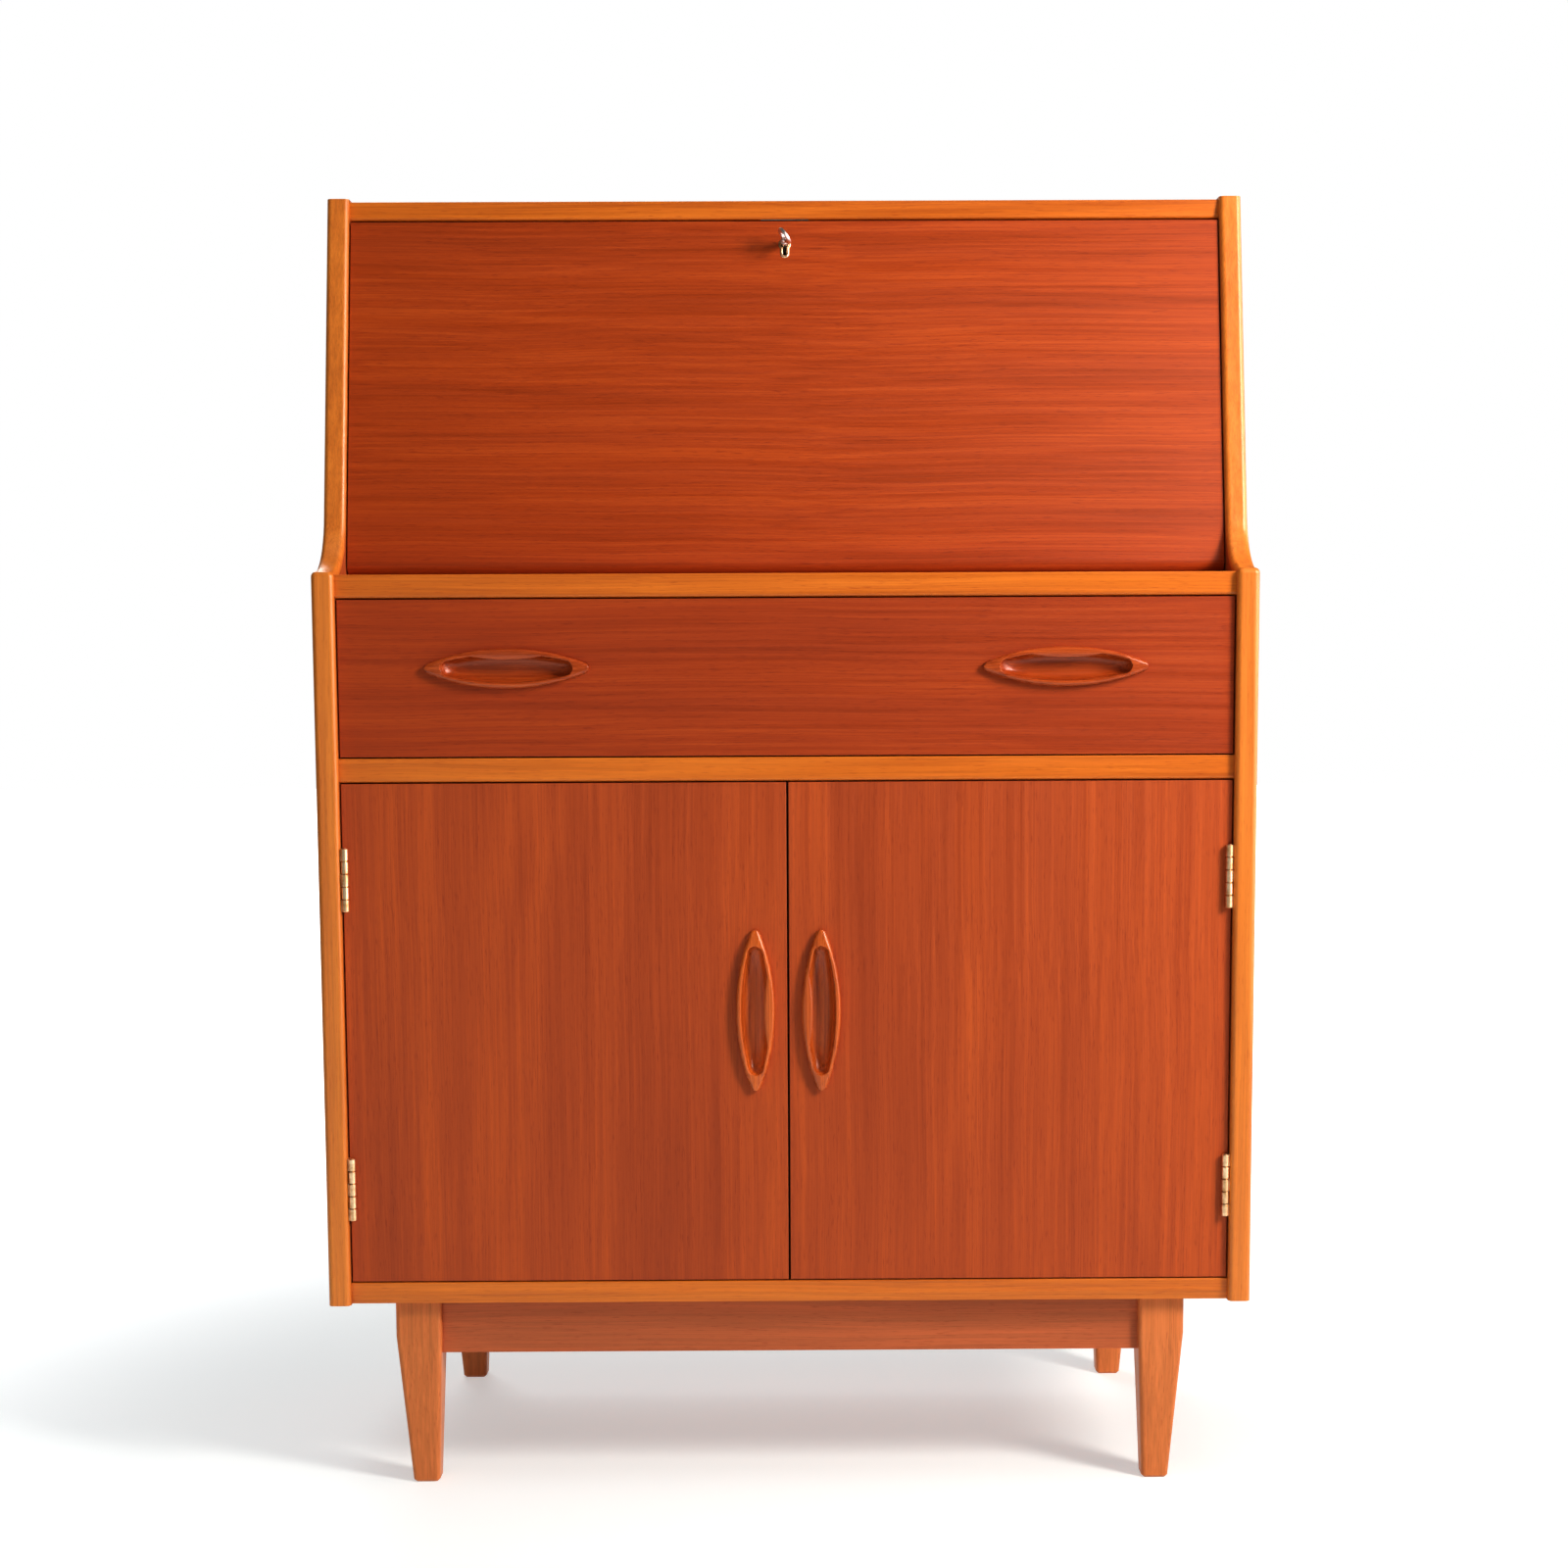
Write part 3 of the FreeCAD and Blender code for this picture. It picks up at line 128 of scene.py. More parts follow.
def timber(name, tones, grain, band_mm, streak_mm, rough, shine, flame=0.0, shift=(0, 0, 0)):
    """Timber. tones are its dark, middle and pale colours, and grain the axis that it runs along. Bands are
    the wide changes of colour between growth rings, streaks the narrow ones within them, and flame the
    strength of the arches of flat-cut veneer."""
    made, tree, shader = finish(name)
    place = add(tree, "ShaderNodeTexCoord")
    laid = add(tree, "ShaderNodeMapping", {"Vector": place.outputs["Object"], "Location": shift,
                                           "Rotation": GRAIN_TURN[grain]})
    # The grain wanders a little over the length of a board.
    drift = add(tree, "ShaderNodeTexNoise", {"Vector": laid.outputs[0], "Scale": 3.0, "Detail": 2.0})
    wander = add(tree, "ShaderNodeVectorMath",
                 {0: drift.outputs["Color"], 1: (0.0, WANDER_MM * MM, WANDER_MM * MM),
                  2: laid.outputs[0]}, operation="MULTIPLY_ADD")
    layers, mixed = [], 0.0
    for width_mm, (length_times, detail, share) in zip((band_mm, streak_mm, FIBRE_MM), GRAIN_LAYERS):
        stretch = add(tree, "ShaderNodeMapping",
                      {"Vector": wander.outputs[0], "Scale": (1 / length_times, 1.0, 1.0)})
        layer = add(tree, "ShaderNodeTexNoise", {"Vector": stretch.outputs[0], "Scale": 1 / (width_mm * MM),
                                                 "Detail": detail, "Roughness": 0.6})
        layers.append(layer.outputs["Fac"])
        mixed = add(tree, "ShaderNodeMath", {0: layers[-1], 1: share, 2: mixed},
                    operation="MULTIPLY_ADD").outputs[0]
    streaks, fibres = layers[1:]
    # Flat-cut veneer shows tall nested arches, the contours of a slow swell across the log.
    swell_map = add(tree, "ShaderNodeMapping",
                    {"Vector": wander.outputs[0], "Scale": (SWELL_SQUEEZE, 1.0, 1.0)})
    swell = add(tree, "ShaderNodeTexNoise", {"Vector": swell_map.outputs[0], "Scale": 6.0, "Detail": 1.0})
    arches = add(tree, "ShaderNodeMath", {0: swell.outputs["Fac"], 1: ARCHES}, operation="MULTIPLY")
    arch = add(tree, "ShaderNodeMath", {0: arches.outputs[0]}, operation="SINE")
    grainy = add(tree, "ShaderNodeMath", {0: arch.outputs[0], 1: flame, 2: mixed}, operation="MULTIPLY_ADD")
    colour = add(tree, "ShaderNodeValToRGB", {"Fac": grainy.outputs[0]},
                 stops=[(0.34, tones[0]), (0.66, tones[2]), (0.50, tones[1])])
    # Open pores are short dark dashes, drawn wider than they are so that they show.
    pore_map = add(tree, "ShaderNodeMapping",
                   {"Vector": wander.outputs[0], "Scale": (PORE_SQUEEZE, 1.0, 1.0)})
    pores = add(tree, "ShaderNodeTexNoise", {"Vector": pore_map.outputs[0], "Scale": 1 / (PORE_MM * MM),
                                             "Detail": 1.0})
    pored = add(tree, "ShaderNodeMapRange", {"Value": pores.outputs["Fac"], "From Min": 0.60,
                                             "From Max": 0.74, "To Min": 0.0, "To Max": 0.30})
    skin = add(tree, "ShaderNodeMix", {0: pored.outputs[0], 6: colour.outputs[0], 7: linear(tones[0])},
               data_type="RGBA", blend_type="MULTIPLY")
    tree.links.new(skin.outputs[2], shader.inputs["Base Color"])
    dull = add(tree, "ShaderNodeMapRange", {"Value": streaks, "From Min": 0.3, "From Max": 0.7,
                                            "To Min": rough - 0.05, "To Max": rough + 0.07})
    tree.links.new(dull.outputs[0], shader.inputs["Roughness"])
    shader.inputs["Specular IOR Level"].default_value = shine
    relief = add(tree, "ShaderNodeMath", {0: pored.outputs[0], 1: -0.8, 2: fibres}, operation="MULTIPLY_ADD")
    bump = add(tree, "ShaderNodeBump", {"Height": relief.outputs[0], "Strength": 0.35,
                                        "Distance": RELIEF_MM * MM})
    tree.links.new(bump.outputs[0], shader.inputs["Normal"])
    return made


def metal(name, bright, tarnish, rough, patch_mm, brushed=0.0):
    """Solid or plated metal, clean on its wearing faces and dulled in patches by handling and air."""
    made, tree, shader = finish(name)
    place = add(tree, "ShaderNodeTexCoord")
    patches = add(tree, "ShaderNodeTexNoise", {"Vector": place.outputs["Object"],
                                               "Scale": 1 / (patch_mm * MM), "Detail": 5.0,
                                               "Roughness": 0.62})
    worn = add(tree, "ShaderNodeMapRange", {"Value": patches.outputs["Fac"], "From Min": 0.40,
                                            "From Max": 0.66})
    colour = add(tree, "ShaderNodeMix", {0: worn.outputs[0], 6: linear(bright), 7: linear(tarnish)},
                 data_type="RGBA")
    tree.links.new(colour.outputs[2], shader.inputs["Base Color"])
    shader.inputs["Metallic"].default_value = 1.0
    dull = add(tree, "ShaderNodeMapRange", {"Value": patches.outputs["Fac"], "From Min": 0.35,
                                            "From Max": 0.7, "To Min": rough, "To Max": rough + 0.18})
    tree.links.new(dull.outputs[0], shader.inputs["Roughness"])
    lines_map = add(tree, "ShaderNodeMapping", {"Vector": place.outputs["Object"], "Scale": (1.0, 1.0, 0.05)})
    lines = add(tree, "ShaderNodeTexNoise", {"Vector": lines_map.outputs[0], "Scale": 1 / (0.4 * MM)})
    bump = add(tree, "ShaderNodeBump", {"Height": lines.outputs["Fac"], "Strength": 0.15 + brushed,
                                        "Distance": 0.03 * MM})
    tree.links.new(bump.outputs[0], shader.inputs["Normal"])
    return made


def moulded(name, code, rough):
    """Injection-moulded plastic, faintly orange-peeled, with a little dust in its colour."""
    made, tree, shader = finish(name)
    place = add(tree, "ShaderNodeTexCoord")
    dust = add(tree, "ShaderNodeTexNoise", {"Vector": place.outputs["Object"], "Scale": 1 / (9 * MM),
                                            "Detail": 4.0})
    shade = add(tree, "ShaderNodeMix", {0: dust.outputs["Fac"], 6: linear(code), 7: linear("C9C3B2")},
                data_type="RGBA")
    tree.links.new(shade.outputs[2], shader.inputs["Base Color"])
    peel = add(tree, "ShaderNodeTexNoise", {"Vector": place.outputs["Object"], "Scale": 1 / (0.8 * MM)})
    bump = add(tree, "ShaderNodeBump", {"Height": peel.outputs["Fac"], "Strength": 0.2,
                                        "Distance": 0.05 * MM})
    tree.links.new(bump.outputs[0], shader.inputs["Normal"])
    shader.inputs["Roughness"].default_value = rough
    return made


# The dark, middle and pale tones of each wood as it looks on a piece.
CASE_TEAK = ("AB5B2D", "BF6634", "D17139")
FALL_TEAK = ("9B400D", "AF4A10", "C05814")
DRAWER_TEAK = ("983C0F", "AA4612", "B95316")
DOOR_TEAK = ("A4491D", "B45423", "C66126")
EDGE_TEAK = ("C87632", "DD8838", "EA963F")
RAIL_TEAK = ("BE6621", "D47924", "E3882B")
PULL_TEAK = ("984018", "B65622", "D06A2A")
DOOR_PULL_TEAK = ("A44E20", "C6662A", "E07A32")
LEG_TEAK = ("C27643", "D7844B", "E89358")
# Aprons: the legs' teak made darker with painted shade from the case above them.
SHADED_APRON_TEAK = ("AE643D", "C16E44", "D1784A")
BIRCH = ("8A5C34", "A87548", "BE9062")
BEECH = ("A97848", "C4965E", "D8B07C")
MAHOGANY = ("9A5A2C", "B97A40", "CC9458")
# Roughness of each surface, from the smoothest.
WAXED, WORN, OILED, SATIN, THIN_COAT, PLANED, SAWN = 0.27, 0.34, 0.44, 0.46, 0.48, 0.55, 0.70

FINISHES = {
    # Teak veneer, sliced thin, stained and lacquered to a satin: red brown, close straight streaks.
    "side_veneer": timber("satin_teak_veneer_upright", CASE_TEAK, "z", 34, 5.0, SATIN, 0.5),
    "board_veneer": timber("satin_teak_veneer_board", CASE_TEAK, "x", 34, 5.0, SATIN, 0.5),
    "fall_veneer": timber("satin_teak_veneer_fall", FALL_TEAK, "x", 26, 3.6, SATIN, 0.4),
    "drawer_veneer": timber("satin_teak_veneer_drawer", DRAWER_TEAK, "x", 26, 3.6, SATIN, 0.4,
                            shift=(0.31, 0.0, 0.0)),
    "door_veneer": timber("satin_teak_veneer_doors", DOOR_TEAK, "z", 46, 6.0, SATIN, 0.4, flame=0.03),
    # Solid teak edging, cut from paler wood than the veneer, worn smooth at its arrises.
    "teak_lipping": timber("solid_teak_edging_upright", EDGE_TEAK, "z", 20, 4.0, WORN, 0.5),
    # Solid teak pulls, shaped by a spindle cutter and waxed, so they are the smoothest wood here.
    "handle_teak": timber("carved_teak_pull", PULL_TEAK, "x", 14, 2.6, WAXED, 0.5),
    # Solid teak legs and rails, oiled only, a little greyer and pinker than the case.
    "leg_teak": timber("oiled_teak_leg", LEG_TEAK, "z", 18, 4.0, OILED, 0.35),
    # Unpolished birch plywood, pale and fuzzy, with slow wide figure.
    "plywood": timber("birch_plywood", BIRCH, "z", 60, 9.0, SAWN, 0.20),
    # Plain beech for what is out of sight: pinkish cream, short flecks.
    "beech": timber("planed_beech", BEECH, "y", 30, 3.0, PLANED, 0.25),
    # Light mahogany veneer inside, thinly lacquered.
    "inner_veneer": timber("thin_mahogany_veneer", MAHOGANY, "z", 30, 4.0, THIN_COAT, 0.28),
    # Rolled and drawn brass, lacquer worn away: yellow with brown tarnish in patches.
    "brass": metal("drawn_brass_tarnished", "F4D8B4", "C9A274", 0.32, 7.0),
    # Zinc-plated mild steel: blue grey, fine-grained.
    "steel": metal("zinc_plated_steel", "B9BCC0", "85878A", 0.38, 5.0, brushed=0.1),
    # Nickel-plated cast key, warm white, plating dulled where fingers turn it.
    "nickel": metal("nickel_plate_worn", "FAF2F0", "D8CCC8", 0.30, 4.0),
    # Moulded white plastic for the magnet holders.
    "white_plastic": moulded("moulded_white_plastic", "EDE9DD", 0.45),
}
# The same woods with their grain along the piece that they are on.
RAIL_EDGING = timber("solid_teak_edging_across", RAIL_TEAK, "x", 20, 4.0, WORN, 0.5)
# The aprons' darker tones are painted shade under the case, not a different wood.
SHADED_APRON_WOOD = timber("oiled_teak_apron_painted_shade", SHADED_APRON_TEAK, "x", 18, 4.0, OILED, 0.35)
UPRIGHT_PULL = timber("carved_teak_pull_upright", DOOR_PULL_TEAK, "z", 14, 2.6, WAXED, 0.5)
BEECH_ACROSS = timber("planed_beech_across", BEECH, "x", 30, 3.0, PLANED, 0.25)
TRAY_VENEER = timber("thin_mahogany_veneer_across", MAHOGANY, "x", 30, 4.0, THIN_COAT, 0.28)
OWN_FINISH = {"rail_lippings": RAIL_EDGING, "cross_aprons": SHADED_APRON_WOOD, "side_aprons": SHADED_APRON_WOOD,
              "drawer_back": BEECH_ACROSS, "corner_blocks": BEECH_ACROSS, "fall_stop": BEECH_ACROSS,
              "board_dowels": BEECH_ACROSS, "pigeonhole_top": TRAY_VENEER, "pigeonhole_trays": TRAY_VENEER}

slots = {part["node"]: part["material_slot"] for part in frame["record"]["subparts"]}
for name, obj in frame["nodes"].items():
    obj.data.materials.clear()
    obj.data.materials.append(OWN_FINISH.get(name) or FINISHES[slots[name]])


# ---- mesh helpers ---------------------------------------------------------------------------------
def solid_object(name, bm, material, crease_deg=40.0):
    """A finished object from a bmesh: doubles merged, faces outwards, smooth but for its sharp edges."""
    bmesh.ops.remove_doubles(bm, verts=bm.verts, dist=SAME_POINT * MM)
    bmesh.ops.dissolve_degenerate(bm, edges=bm.edges, dist=SHORT_EDGE * MM)
    bmesh.ops.recalc_face_normals(bm, faces=bm.faces)
    for face in bm.faces:
        face.smooth = True
    for edge in bm.edges:
        edge.smooth = len(edge.link_faces) == 2 and edge.calc_face_angle(0.0) < math.radians(crease_deg)
    mesh = bpy.data.meshes.new(name)
    bm.to_mesh(mesh)
    bm.free()
    mesh.materials.append(material)
    made = bpy.data.objects.new(name, mesh)
    bpy.context.scene.collection.objects.link(made)
    return made


def band(bm, low, high):
    """Faces between two rings of corners, each with as many corners as the other."""
    for i in range(len(low)):
        j = (i + 1) % len(low)
        bm.faces.new((low[i], low[j], high[j], high[i]))


def loft(bm, rings):
    """Faces from each ring of points to the next."""
    rows = [[bm.verts.new(point) for point in ring] for ring in rings]
    for low, high in zip(rows, rows[1:]):
        band(bm, low, high)
    return rows


def turned(bm, profile, axis, sides=32):
    """A lathe form: profile gives (distance along the axis, radius) from one end to the other."""
    along = Vector(axis).normalized()
    across = along.orthogonal().normalized()
    rings = []
    for reach, radius in profile:
        ring = []
        for i in range(sides):
            arm = Matrix.Rotation(FULL_TURN * i / sides, 3, along) @ across
            ring.append(along * reach + arm * radius)
        rings.append(ring)
    rows = loft(bm, rings)
    for row in (rows[0], rows[-1]):
        if (row[0].co - row[1].co).length > 0.01 * MM:
            bm.faces.new(row)


def loose_parts(node):
    """Corner points of each separate solid of a CAD node."""
    mesh = frame["nodes"][node].data
    points = np.array([v.co for v in mesh.vertices])
    keys, which = np.unique(np.round(points / (SAME_CORNER * MM)).astype(int), axis=0, return_inverse=True)
    which = which.ravel()
    parent = list(range(len(keys)))

    def top(i):
        while parent[i] != i:
            parent[i] = parent[parent[i]]
            i = parent[i]
        return i

    for polygon in mesh.polygons:
        corners = [top(which[i]) for i in polygon.vertices]
        for corner in corners[1:]:
            parent[top(corner)] = top(corners[0])
    owner = np.array([top(i) for i in which])
    return [points[owner == i] for i in np.unique(owner)]


# ---- carved pulls ---------------------------------------------------------------------------------
def eye_half(x, length, width, tip_r):
    """Half the width of a pointed oval with rounded tips, at x from its middle, and its own half length."""
    half, rise = length / 2, width / 2
    bow_r = (half ** 2 + rise ** 2) / (2 * rise)
    tip_x = math.sqrt((bow_r - tip_r) ** 2 - (bow_r - rise) ** 2)
    meet_x = tip_x * bow_r / (bow_r - tip_r)
    end = tip_x + tip_r
    if abs(x) >= end:
        return 0.0, end
    if abs(x) > meet_x:
        return math.sqrt(max(0.0, tip_r ** 2 - (abs(x) - tip_x) ** 2)), end
    return math.sqrt(bow_r ** 2 - x ** 2) - (bow_r - rise), end


def pull_section(x):
    """Outline across the pull at x: pairs of (up, depth behind the crest), from the lower flank to the
    upper one."""
    outer, end = eye_half(x, PULL_L, PULL_W, PULL_TIP_R)
    inner, hollow_end = eye_half(x, HOLLOW_L, HOLLOW_W, HOLLOW_TIP_R)
    crest = TIP_DROP * (abs(x) / end) ** TIP_POWER
    back = PULL_PROUD + PULL_SET_IN
    # The ends of the hollow are steep, and its floor is level between them.
    deep = HOLLOW_DEPTH * max(0.0, 1 - (abs(x) / hollow_end) ** HOLLOW_END_POWER) ** 0.5
    lip_bow_r = ((LIP_L / 2) ** 2 + LIP_REACH ** 2) / (2 * LIP_REACH)
    lip = max(0.0, LIP_REACH - x ** 2 / (2 * lip_bow_r) - (HOLLOW_W / 2 - inner))
    rim = outer - inner
    shoulder = min(SHOULDER, SHOULDER_SHARE * outer)
    bead = min(shoulder, BEAD_SHARE * rim)
    roll = min(EDGE_ROLL, ROLL_SHARE * rim)
    edge, under = min(deep, EDGE_ROLL), min(deep, LIP_T)
    quarter = [math.pi / 2 * step / QUARTER_STEPS for step in range(QUARTER_STEPS + 1)]
    points = [(-outer, back), (-outer, back * FLANK_SHARE), (-outer, crest + shoulder)]
    points += [(-outer + bead * (1 - math.cos(t)), crest + shoulder * (1 - math.sin(t))) for t in quarter[1:]]
    points += [(-inner - roll + roll * math.sin(t), crest + edge * (1 - math.cos(t))) for t in quarter]
    # The floor is a full curve between steep walls.
    for step in range(1, FLOOR_STEPS):
        turn = math.pi * step / FLOOR_STEPS
        wall = edge if turn < math.pi / 2 else under
        points.append((-inner * math.copysign(abs(math.cos(turn)) ** WALL_POWER, math.cos(turn)),
                       crest + wall + (deep - wall) * math.sin(turn) ** FLOOR_POWER))
    # The lip's underside rises towards its rounded nose, and its full face runs on to the crest.
    rise, uncut = LIP_UNDERCUT * (under - edge), 1 - LIP_UNDERCUT
    points += [(inner - lip * uncut * step / 3, crest + under - rise * step / 3) for step in range(4)]
    middle, half = crest + (uncut * under + (1 + LIP_UNDERCUT) * edge) / 2, uncut * (under - edge) / 2
    nose = min(LIP_NOSE, LIP_NOSE_SHARE * lip)
    points += [(inner - lip + nose * (1 - math.sin(math.pi * step / 6)),
                middle + half * math.cos(math.pi * step / 6)) for step in range(1, 6)]
    face = inner + roll - (inner - lip + nose)
    points += [(inner - lip + nose + face * (1 - math.cos(t)) ** 0.9, crest + edge * (1 - math.sin(t) ** 1.3))
               for t in quarter]
    points += [(outer - bead * (1 - math.cos(t)), crest + shoulder * (1 - math.sin(t)))
               for t in quarter[::-1]]
    return points + [(outer, back * FLANK_SHARE), (outer, back)]


def carved_pull(name, node, panel, turn_deg, body, material):
    """A pull in the place of its CAD solid, its lip upwards before it is turned about the depth axis."""
    end = eye_half(0.0, PULL_L, PULL_W, PULL_TIP_R)[1]
    rings = []
    for i in range(PULL_STATIONS + 1):
        x = end * math.sin(math.pi / 2 * (2 * i / PULL_STATIONS - 1))
        rings.append([(x * MM, (depth - PULL_PROUD) * MM, up * MM) for up, depth in pull_section(x)])
    bm = bmesh.new()
    loft(bm, rings)
    low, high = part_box(node)
    face_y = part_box(panel)[0].y
    spot = Matrix.Translation(((low.x + high.x) / 2, face_y, (low.z + high.z) / 2))
    bm.transform(spot @ Matrix.Rotation(math.radians(turn_deg), 4, "Y"))
    made = solid_object(name, bm, material, crease_deg=55.0)
    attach(made, body)
    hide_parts(node)


DRAWER_PULL = FINISHES["handle_teak"]
carved_pull("carved_pull_drawer_left", "drawer_handle_left", "drawer_front", 0, "drawer", DRAWER_PULL)
carved_pull("carved_pull_drawer_right", "drawer_handle_right", "drawer_front", 0, "drawer", DRAWER_PULL)
carved_pull("carved_pull_door_left", "door_handle_left", "door_left", 90, "door_left", UPRIGHT_PULL)
carved_pull("carved_pull_door_right", "door_handle_right", "door_right", -90, "door_right", UPRIGHT_PULL)


# ---- key and keyhole liner ------------------------------------------------------------------------
key_joint = next(joint for joint in frame["joints"] if joint["name"] == "key_turn")
key_out = Vector(key_joint["axis"]).normalized()
# On the fall: x to the right, y inwards, z up the slope, with the origin on its face at the key.
fall_axes = Matrix((Vector((1, 0, 0)), -key_out, Vector((1, 0, 0)).cross(-key_out))).transposed().to_4x4()
at_lock = Matrix.Translation(Vector(key_joint["pos_m"])) @ fall_axes


def lock_key():
    """Key with an oval ring bow, a turned collar and a notched bit, standing in the lock."""
    bm = bmesh.new()
    rings = []
    for i in range(BOW_STEPS):
        turn = FULL_TURN * i / BOW_STEPS
        out = Vector((0, -math.cos(turn), math.sin(turn)))
        middle = Vector((0, out.y * KEY_BOW_R - KEY_BOW_OUT, out.z * KEY_BOW_R * KEY_BOW_OVAL))
        ring = []
        for k in range(WIRE_SIDES):
            side = FULL_TURN * k / WIRE_SIDES
            ring.append((middle + out * math.cos(side) * KEY_WIRE_ACROSS
                         + Vector((1, 0, 0)) * math.sin(side) * KEY_WIRE_THICK) * MM)
        rings.append(ring)
    loft(bm, rings + rings[:1])
    neck = -KEY_BOW_OUT + KEY_BOW_R
    # The turned stem as (distance inwards, radius): a swelling at the bow, a collar, and a plain end.
    stem = [(neck - 0.6, 0.0), (neck - 0.5, 1.9), (neck + 0.4, 2.9), (neck + 1.6, 3.1), (neck + 2.2, 2.6),
            (neck + 2.8, 2.2), (-8.4, 2.2), (-8.2, 3.2), (-7.9, 3.4), (-6.6, 3.4), (-6.3, 3.2), (-6.1, 2.35),
            (14.4, 2.35), (14.9, 2.1), (15.0, 0.0)]
    turned(bm, [(reach * MM, radius * MM) for reach, radius in stem], (0, 1, 0))
    # The bit as (distance inwards, up), with one notch for the lock's ward.
    outline = [(11.0, -1.8), (11.0, -6.0), (12.2, -6.0), (12.2, -4.4), (13.0, -4.4), (13.0, -6.0),
               (14.8, -6.0), (14.8, -1.8)]
    bit = loft(bm, [[(x * MM, y * MM, z * MM) for y, z in outline] for x in (-KEY_BIT_T / 2, KEY_BIT_T / 2)])
    for end in bit:
        bm.faces.new(end)
    bm.transform(at_lock @ Matrix.Rotation(math.radians(-KEY_TILT), 4, "Y"))
    made = solid_object("lock_key", bm, FINISHES["nickel"])
    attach(made, "key")
    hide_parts("key")


def keyhole_outline(grow, steps=40):
    """Points round a keyhole: a round eye over a narrower slot with a round foot."""
    eye, half = KEYHOLE_R + grow, KEYHOLE_SLOT / 2 + grow
    drop = KEYHOLE_L - KEYHOLE_R - KEYHOLE_SLOT / 2
    meet = math.asin(half / eye)
    points = []
    for i in range(steps + 1):
        turn = -math.pi / 2 + meet + (FULL_TURN - 2 * meet) * i / steps
        points.append((eye * math.cos(turn), eye * math.sin(turn)))
    for i in range(1, steps // 2):
        turn = math.pi + math.pi * i / (steps // 2)
        points.append((half * math.cos(turn), -drop + half * math.sin(turn)))
    return points


def keyhole_liner():
    """Cast liner let into the fall round the keyhole, its front domed."""
    foot = LINER_DOME - LINER_PROUD
    profile = [(LINER_WALL, LINER_DEPTH)]
    for step in range(DOME_STEPS + 1):
        turn = math.pi * step / DOME_STEPS
        profile.append((LINER_WALL * (1 + math.cos(turn)) / 2, foot - LINER_DOME * math.sin(turn)))
    profile.append((0.0, LINER_DEPTH))
    bm = bmesh.new()
    rings = [[(x * MM, depth * MM, z * MM) for x, z in keyhole_outline(grow)] for grow, depth in profile]
    loft(bm, rings + rings[:1])
    bm.transform(at_lock)
    made = solid_object("keyhole_liner", bm, FINISHES["brass"])
    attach(made, "fall")
    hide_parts("escutcheon")


lock_key()
keyhole_liner()


# ---- screws ---------------------------------------------------------------------------------------
def slotted_screw():
    """One countersunk screw, its head in the XY plane and its point along Z, with a sawn slot."""
    bm = bmesh.new()
    head, shank, half_slot = SCREW_HEAD_R, SCREW_R, SLOT_W / 2
    sides = HALF_HEAD_SIDES
    top_edge, low_edge = [], []
    # Each half of the head has its flat and its wall of the slot.
    for flip in (1, -1):
        reach = math.asin(half_slot / head)
        turns = [reach + (math.pi - 2 * reach) * i / sides for i in range(sides + 1)]
        rim = [bm.verts.new((head * math.cos(t) * MM, flip * head * math.sin(t) * MM, 0)) for t in turns]
        bm.faces.new(rim)
        top_edge.append(rim)
        floor = [bm.verts.new((rim[0].co.x, rim[0].co.y, SLOT_DEEP * MM)),
                 bm.verts.new((rim[-1].co.x, rim[-1].co.y, SLOT_DEEP * MM))]
        bm.faces.new((rim[0], rim[-1], floor[1], floor[0]))
        low_edge.append(floor)
    bm.faces.new((low_edge[0][0], low_edge[0][1], low_edge[1][1], low_edge[1][0]))
    order = top_edge[0] + top_edge[1][::-1]
    neck = [bm.verts.new((v.co.x * shank / head, v.co.y * shank / head, (head - shank) * MM)) for v in order]
    foot = [bm.verts.new((v.co.x, v.co.y, SCREW_SHANK_END * MM)) for v in neck]
    point = bm.verts.new((0, 0, SCREW_POINT * MM))
    for i in range(len(order)):
        j = (i + 1) % len(order)
        # The two faces at the slot's ends follow its floor.
        if i in (sides, len(order) - 1):
            side = 1 if i == sides else 0
            bm.faces.new((order[i], low_edge[0][side], low_edge[1][side], order[j], neck[j], neck[i]))
        else:
            bm.faces.new((order[i], order[j], neck[j], neck[i]))
    band(bm, neck, foot)
    for i in range(len(foot)):
        bm.faces.new((foot[i], foot[(i + 1) % len(foot)], point))
    return solid_object("slotted_screw", bm, FINISHES["steel"], crease_deg=30.0)


